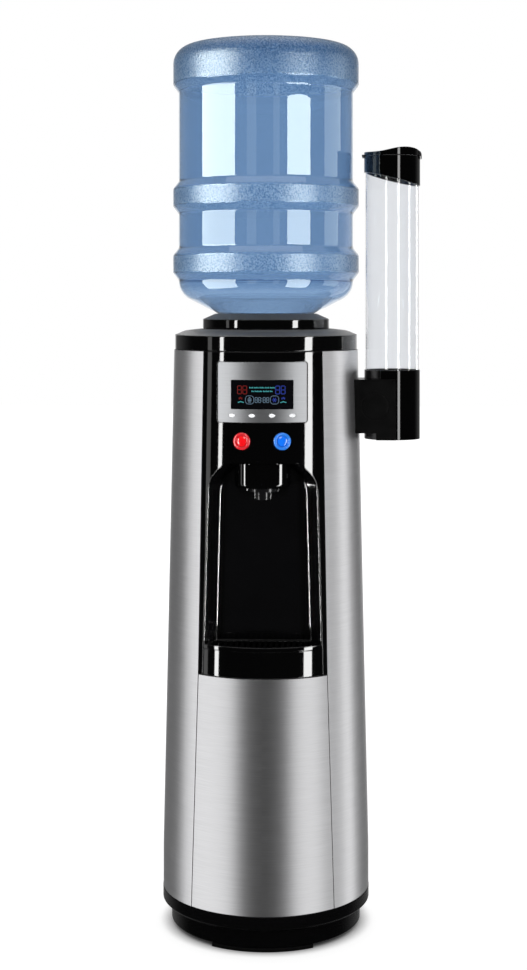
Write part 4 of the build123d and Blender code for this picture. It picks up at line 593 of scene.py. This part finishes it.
def plate(model, outline):
    """Thin plate on the window from an outline of (across, height) points in millimetres."""
    front = [model.verts.new(on_window(u * MM, z * MM, PLATE_LIFT)) for u, z in outline]
    back = [model.verts.new(on_window(u * MM, z * MM, -PLATE_SINK)) for u, z in outline]
    model.faces.new(front)
    model.faces.new(back[::-1])
    count = len(outline)
    for index in range(count):
        following = (index + 1) % count
        model.faces.new((front[following], front[index], back[index], back[following]))


def bar(model, u, z, width, height):
    """Upright rectangle on the window by its lower left corner."""
    plate(model, [(u, z), (u + width, z), (u + width, z + height), (u, z + height)])


def segment(model, start, end, width):
    """Lit segment between two points, with pointed ends."""
    along = (Vector(end) - Vector(start)).normalized()
    side = Vector((-along.y, along.x)) * width / 2
    tip = along * width / 2
    a = Vector(start) + tip * TIP_INSET
    b = Vector(end) - tip * TIP_INSET
    plate(model, [a, a + tip - side, b - tip - side, b, b - tip + side, a + tip + side])


def digit(model, u, z, width, height, stroke):
    """Seven segments of a figure eight."""
    low, middle, high = z, z + height / 2, z + height
    left, right = u, u + width
    for level in (low, middle, high):
        segment(model, (left, level), (right, level), stroke)
    for x in (left, right):
        segment(model, (x, low), (x, middle), stroke)
        segment(model, (x, middle), (x, high), stroke)


def cut_box(model, u, z, width, height, stroke):
    """Outline of a box with cut corners."""
    cut = height * CORNER_CUT
    right, top = u + width, z + height
    corners = [
        (u + cut, z), (right - cut, z), (right, z + cut), (right, top - cut),
        (right - cut, top), (u + cut, top), (u, top - cut), (u, z + cut),
    ]
    for start, end in zip(corners, corners[1:] + corners[:1]):
        segment(model, start, end, stroke)


def figures(red, blue, pale):
    """Two temperatures and a clock, with every segment lit."""
    for model, places in ((red, (-34.4, -26.8)), (blue, (18.9, 26.5))):
        for u in places:
            digit(model, u, TEMPERATURE_ROW, 5.6, 11.0, 0.9)
    for u in (-9.6, -4.9, 1.6, 6.3):
        digit(pale, u, CLOCK_ROW, 3.2, 7.0, 0.7)
    for rise in (2.0, 5.0):
        bar(pale, -0.5, CLOCK_ROW + rise, 0.9, 0.9)


def dashes(model):
    """Two rows of dashes in groups, in place of words."""
    dash, dash_gap, word_gap = 1.15, 0.65, 1.5
    for row, words in WORD_ROWS:
        marks = sum(words)
        u = -(marks * dash + (marks - len(words)) * dash_gap + (len(words) - 1) * word_gap) / 2
        for word in words:
            for index in range(word):
                bar(model, u, row, dash, 1.9 - 0.5 * (index % 2))
                u += dash + dash_gap
            u += word_gap - dash_gap


def signs(red, blue, teal, pale):
    """Two boxed signs, a barred drop and a star, with marks and waves beside them."""
    for u in (-23.0, 11.6):
        cut_box(pale, u, SIGN_ROW, 11.6, 11.2, 0.7)
    for height, half in ((757.4, 2.0), (759.4, 2.6), (761.4, 2.6), (763.4, 1.2)):
        bar(pale, -17.2 - half, height, 2 * half, 1.1)
    centre = Vector((17.4, 760.8))
    for index in range(3):
        angle = radians(60 * index)
        reach = Vector((cos(angle), sin(angle))) * 3.8
        segment(blue, centre - reach, centre + reach, 0.9)
    for model, u in ((red, -30.0), (blue, 29.6)):
        for index in range(3):
            bar(model, u - 2.4 + 1.8 * index, 761.4 + 0.8 * (index % 2), 1.1, 2.6)
    for u in (-33.8, 25.6):
        for index, rise in enumerate((0.0, 0.6, 1.1, 0.6, 0.0)):
            bar(teal, u + 1.7 * index, 756.6 + rise, 1.4, 1.3)


def display_graphics(looks):
    """Figures and plain signs lit on the display."""
    red, blue, teal, pale = (bmesh.new() for _ in range(4))
    figures(red, blue, pale)
    dashes(teal)
    signs(red, blue, teal, pale)
    for model, colour in ((red, "red"), (blue, "blue"), (teal, "teal"), (pale, "pale")):
        mesh = bpy.data.meshes.new("display_" + colour)
        model.to_mesh(mesh)
        model.free()
        finish_piece("display_" + colour, mesh, looks["lit_" + colour], "cabinet")


def turned(profile, origin, out, filled):
    """Mesh of a profile in millimetres turned about an axis, filled at its middle or open."""
    across = Vector((0, 0, 1)).cross(out).normalized()
    up = out.cross(across).normalized()
    model = bmesh.new()
    rings = []
    for radius, distance in profile:
        ring = []
        for index in range(PUSH_SIDES):
            angle = 2 * pi * index / PUSH_SIDES
            spoke = across * cos(angle) + up * sin(angle)
            ring.append(model.verts.new(origin + spoke * (radius * MM) + out * (distance * MM)))
        rings.append(ring)
    pairs = list(zip(rings, rings[1:]))
    if not filled:
        pairs.append((rings[-1], rings[0]))
    for low, high in pairs:
        for index in range(PUSH_SIDES):
            following = (index + 1) % PUSH_SIDES
            model.faces.new((low[index], low[following], high[following], high[index]))
    if filled:
        model.faces.new(rings[0][::-1])
        model.faces.new(rings[-1])
    bmesh.ops.recalc_face_normals(model, faces=model.faces)
    mesh = bpy.data.meshes.new("turned")
    model.to_mesh(mesh)
    model.free()
    for polygon in mesh.polygons:
        polygon.use_smooth = True
    return mesh


def push_buttons(looks):
    """Rounded faces of the two push buttons and the lips of their rings."""
    for temperature, colour in (("hot", "red"), ("cold", "blue")):
        button = temperature + "_button"
        ring = colour + "_ring"
        press = Vector(JOINTS[button + "_press"]["axis"])
        out = -press.normalized()
        origin = Vector((PUSH_RADIUS * out.x, PUSH_RADIUS * out.y, PUSH_HEIGHT))
        lip = turned(LIP_PROFILE, origin, out, False)
        face = turned(FACE_PROFILE, origin, out, True)
        finish_piece(button + "_lip", lip, looks[ring], "cabinet")
        finish_piece(button + "_face", face, looks[colour], button)


# Studio


def add_camera():
    """Level camera at the photograph's place."""
    data = bpy.data.cameras.new("camera")
    data.sensor_width = 36.0
    data.lens = CAMERA_LENS
    data.shift_x, data.shift_y = CAMERA_SHIFT
    data.clip_end = 100.0
    camera = bpy.data.objects.new("camera", data)
    angle = radians(CAMERA_AZIMUTH)
    camera.location = (CAMERA_DISTANCE * sin(angle), -CAMERA_DISTANCE * cos(angle), CAMERA_HEIGHT)
    camera.rotation_euler = (pi / 2, 0, angle)
    bpy.context.scene.collection.objects.link(camera)
    bpy.context.scene.camera = camera


def receivers(name, objects):
    """Collection of the objects that a light reaches."""
    collection = bpy.data.collections.new(name)
    for piece in objects:
        collection.objects.link(piece)
    return collection


def area_light(name, size, place, radiance, reach, shade):
    """Rectangular light on some pieces or on all, shaded by some or by all, and unseen by the camera."""
    data = bpy.data.lights.new(name, "AREA")
    data.shape = "RECTANGLE"
    data.size, data.size_y = size
    data.energy = pi * radiance * data.size * data.size_y
    light = bpy.data.objects.new(name, data)
    light.location = place
    light.visible_camera = False
    light.visible_transmission = False
    light.light_linking.receiver_collection = reach
    light.light_linking.blocker_collection = shade
    bpy.context.scene.collection.objects.link(light)
    return light


def softbox(name, span, heights, radiance, reach,
            distance=LIGHT_DISTANCE, tilt=0.0, shade=None, tint=NEUTRAL):
    """Upright light over a span of azimuths from the camera, facing the axis."""
    start, end = (radians(angle + CAMERA_AZIMUTH) for angle in span)
    angle = (start + end) / 2
    low, high = heights
    size = (2 * distance * tan((end - start) / 2), high - low)
    place = (distance * sin(angle), -distance * cos(angle), (low + high) / 2)
    light = area_light(name, size, place, radiance, reach, shade)
    light.data.color = tint
    facing = Vector((-sin(angle), cos(angle), 0)).to_track_quat("-Z", "Y")
    light.rotation_euler = (facing @ Quaternion((0, 0, 1), radians(tilt))).to_euler()


def light_gloss(gloss, liner):
    """Strips that show in the black front and in its niche."""
    softbox("left_strip", (-58.8, -54.0), STRIP_HEIGHTS, 13.0, gloss, tilt=-6.0)
    softbox("right_strip", (44.4, 54.0), STRIP_HEIGHTS, 13.0, gloss, tilt=-14.0)
    softbox("left_glimmer", (-75.0, -69.0), STRIP_HEIGHTS, 1.0, gloss)
    softbox("left_niche", (-41.0, -36.0), NICHE_HEIGHTS, 150.0, liner)
    softbox("right_niche", (34.0, 39.0), NICHE_HEIGHTS, 150.0, liner)


def light_steel(steel):
    """Broad panels that shade the brushed steel."""
    panels = (
        ("left_panel", (-103.0, -32.5), 1.22),
        ("right_panel", (27.0, 63.0), 1.22),
        ("right_middle", (63.0, 95.0), 0.5),
        ("right_rear", (95.0, 112.0), 1.65),
    )
    for name, span, radiance in panels:
        softbox(name, span, PANEL_HEIGHTS, radiance, steel, shade=steel)


def light_bottle(bottle):
    """Two windows, each in two halves, and fainter strips in the bottle."""
    windows = (
        ("left_window", LEFT_WINDOW, (WINDOW_SPLIT, LEFT_WINDOW_TOP), 15.5),
        ("right_window", RIGHT_WINDOW, (WINDOW_SPLIT, RIGHT_WINDOW_TOP), 14.0),
        ("left_window_low", LEFT_WINDOW, (0.0, WINDOW_SPLIT), 10.2),
        ("right_window_low", RIGHT_WINDOW, (0.0, WINDOW_SPLIT), 9.6),
    )
    for name, span, heights, radiance in windows:
        softbox(name, span, heights, radiance, bottle, WINDOW_DISTANCE, tint=COOL)
    softbox("right_sky", (80.0, 112.0), SKY_HEIGHTS, 2.2, bottle, tint=COOL)
    softbox("bottle_glimmer_left", (-24.0, -12.0), SKY_HEIGHTS, 0.9, bottle, tint=COOL)
    softbox("bottle_glimmer_right", (9.0, 17.0), SKY_HEIGHTS, 0.9, bottle, tint=COOL)


def light_cups(cups, tube):
    """Narrow strips in the cup dispenser and its clear tube."""
    strips = (
        ("cup_left", -78.5, 5.0, cups),
        ("cup_right", 28.0, 5.0, cups),
        ("tube_far_left", -78.5, 20.0, tube),
        ("tube_left", -24.0, 20.0, tube),
        ("tube_right", 28.0, 20.0, tube),
        ("tube_far_right", 76.0, 20.0, tube),
        ("tube_rear_right", 124.0, 14.0, tube),
    )
    for name, middle, radiance, reach in strips:
        softbox(name, (middle - CUP_HALF_SPAN, middle + CUP_HALF_SPAN), CUP_HEIGHTS, radiance, reach)


def add_lights():
    """Lights for each kind of surface, and a panel overhead."""
    steel_names = ("left_side_panel", "right_side_panel", "lower_front_panel", "display_bezel")
    bottle_names = ("water_bottle", "bottle_cap")
    cup_names = [name for name in NODES if name.startswith(("cup_", "lid_", "bracket_"))]
    apart = {*steel_names, *bottle_names, *cup_names, "niche_liner", "base_plinth", "foot_ring"}
    meshes = [piece for piece in bpy.context.scene.objects if piece.type == "MESH"]
    pieces = [piece for piece in meshes if piece.name not in apart]
    gloss = receivers("gloss_receivers", pieces)
    steel = receivers("steel_receivers", [NODES[name] for name in steel_names])
    bottle = receivers("bottle_receivers", [NODES[name] for name in bottle_names])
    cups = receivers("cup_receivers", [NODES[name] for name in cup_names if name != "cup_tube"])
    tube = receivers("tube_receivers", [NODES["cup_tube"]])
    liner = receivers("liner_receivers", [NODES["niche_liner"]])
    keys = receivers("key_receivers", [piece for piece in pieces if "button" in piece.name])
    cover = receivers("cover_receivers", [NODES["top_cover"], NODES["bottle_collar"]])
    light_gloss(gloss, liner)
    light_steel(steel)
    light_bottle(bottle)
    light_cups(cups, tube)
    softbox("key", (-12.0, 12.0), (1.7, 2.6), 9.0, keys)
    softbox("key_left", (-62.0, -50.0), (-0.3, 1.3), 10.0, keys)
    area_light("overhead", (2.4, 2.4), (0.0, 0.3, 3.2), 1.1, None, None)
    area_light("cover_panel", (1.6, 1.6), (0.0, 0.55, 2.0), 10.0, cover, cover)


def add_world():
    """White backdrop for the camera and straight behind the cooler, and a dim studio elsewhere."""
    world = bpy.data.worlds.new("studio")
    bpy.context.scene.world = world
    world.use_nodes = True
    tree = world.node_tree
    tree.nodes.clear()
    _, y, z = components(tree, add(tree, "ShaderNodeTexCoord").outputs["Generated"])
    behind = calc(tree, "MULTIPLY", step(tree, y, 0.2, 0.8), STUDIO_BEHIND)
    above = calc(tree, "MULTIPLY", step(tree, z, 0.15, 0.9), STUDIO_ABOVE)
    studio = add(tree, "ShaderNodeBackground")
    studio.inputs["Color"].default_value = WHITE
    tree.links.new(summed(tree, behind, above, STUDIO_AROUND), studio.inputs["Strength"])
    white = add(tree, "ShaderNodeBackground")
    white.inputs["Color"].default_value = WHITE
    white.inputs["Strength"].default_value = 1.0
    path = add(tree, "ShaderNodeLightPath")
    mirrored = calc(tree, "MULTIPLY", path.outputs["Is Glossy Ray"], step(tree, y, 0.883, 0.966))
    along = step(tree, calc(tree, "ABSOLUTE", y), 0.45, 0.85)
    clear = summed(tree, calc(tree, "MULTIPLY", along, 0.4), 0.6)
    through = calc(tree, "MULTIPLY", path.outputs["Is Transmission Ray"], clear)
    seen = calc(tree, "MAXIMUM", path.outputs["Is Camera Ray"], calc(tree, "MAXIMUM", mirrored, through))
    mix = add(tree, "ShaderNodeMixShader")
    tree.links.new(seen, mix.inputs["Fac"])
    tree.links.new(studio.outputs[0], mix.inputs[1])
    tree.links.new(white.outputs[0], mix.inputs[2])
    output = add(tree, "ShaderNodeOutputWorld")
    tree.links.new(mix.outputs[0], output.inputs["Surface"])


def floor_material():
    """Pale floor that is white to the camera and keeps the shadow, with a painted contact shadow darkest
    where the cooler stands.
    """
    material, tree, bsdf = new_material("pale_floor")
    bsdf.inputs["Base Color"].default_value = (0.82, 0.82, 0.82, 1.0)
    bsdf.inputs["Roughness"].default_value = 0.9
    bsdf.inputs["Specular IOR Level"].default_value = 0.1
    bsdf.inputs["Emission Color"].default_value = WHITE
    path = add(tree, "ShaderNodeLightPath")
    seen = calc(tree, "MAXIMUM", path.outputs["Is Camera Ray"], path.outputs["Is Transmission Ray"])
    away = measure(tree, "LENGTH", object_place(tree))
    open_glow = spread(tree, away, *FLOOR_GLOW, *FLOOR_FADE)
    # Painted contact shadow: ambient occlusion dims the floor's glow near the cooler's foot
    painted_contact_shadow = add(tree, "ShaderNodeAmbientOcclusion", samples=16)
    painted_contact_shadow.inputs["Distance"].default_value = PAINTED_SHADOW_REACH
    shaded = calc(tree, "MULTIPLY", open_glow, calc(tree, "POWER", painted_contact_shadow.outputs["AO"], 1.5))
    tree.links.new(calc(tree, "MULTIPLY", seen, shaded), bsdf.inputs["Emission Strength"])
    return material


def add_floor():
    """Wide floor just under the cooler."""
    model = bmesh.new()
    bmesh.ops.create_grid(model, x_segments=1, y_segments=1, size=FLOOR_HALF)
    mesh = bpy.data.meshes.new("floor")
    model.to_mesh(mesh)
    model.free()
    mesh.materials.append(floor_material())
    floor = bpy.data.objects.new("floor", mesh)
    floor.location = (0.0, 0.0, -FLOOR_DROP)
    floor.visible_glossy = False
    floor.visible_shadow = False
    bpy.context.scene.collection.objects.link(floor)


add_camera()
LOOKS = make_materials()
dress_nodes(LOOKS)
display_graphics(LOOKS)
push_buttons(LOOKS)
add_lights()
add_world()
add_floor()
bpy.context.scene.view_settings.view_transform = "Standard"
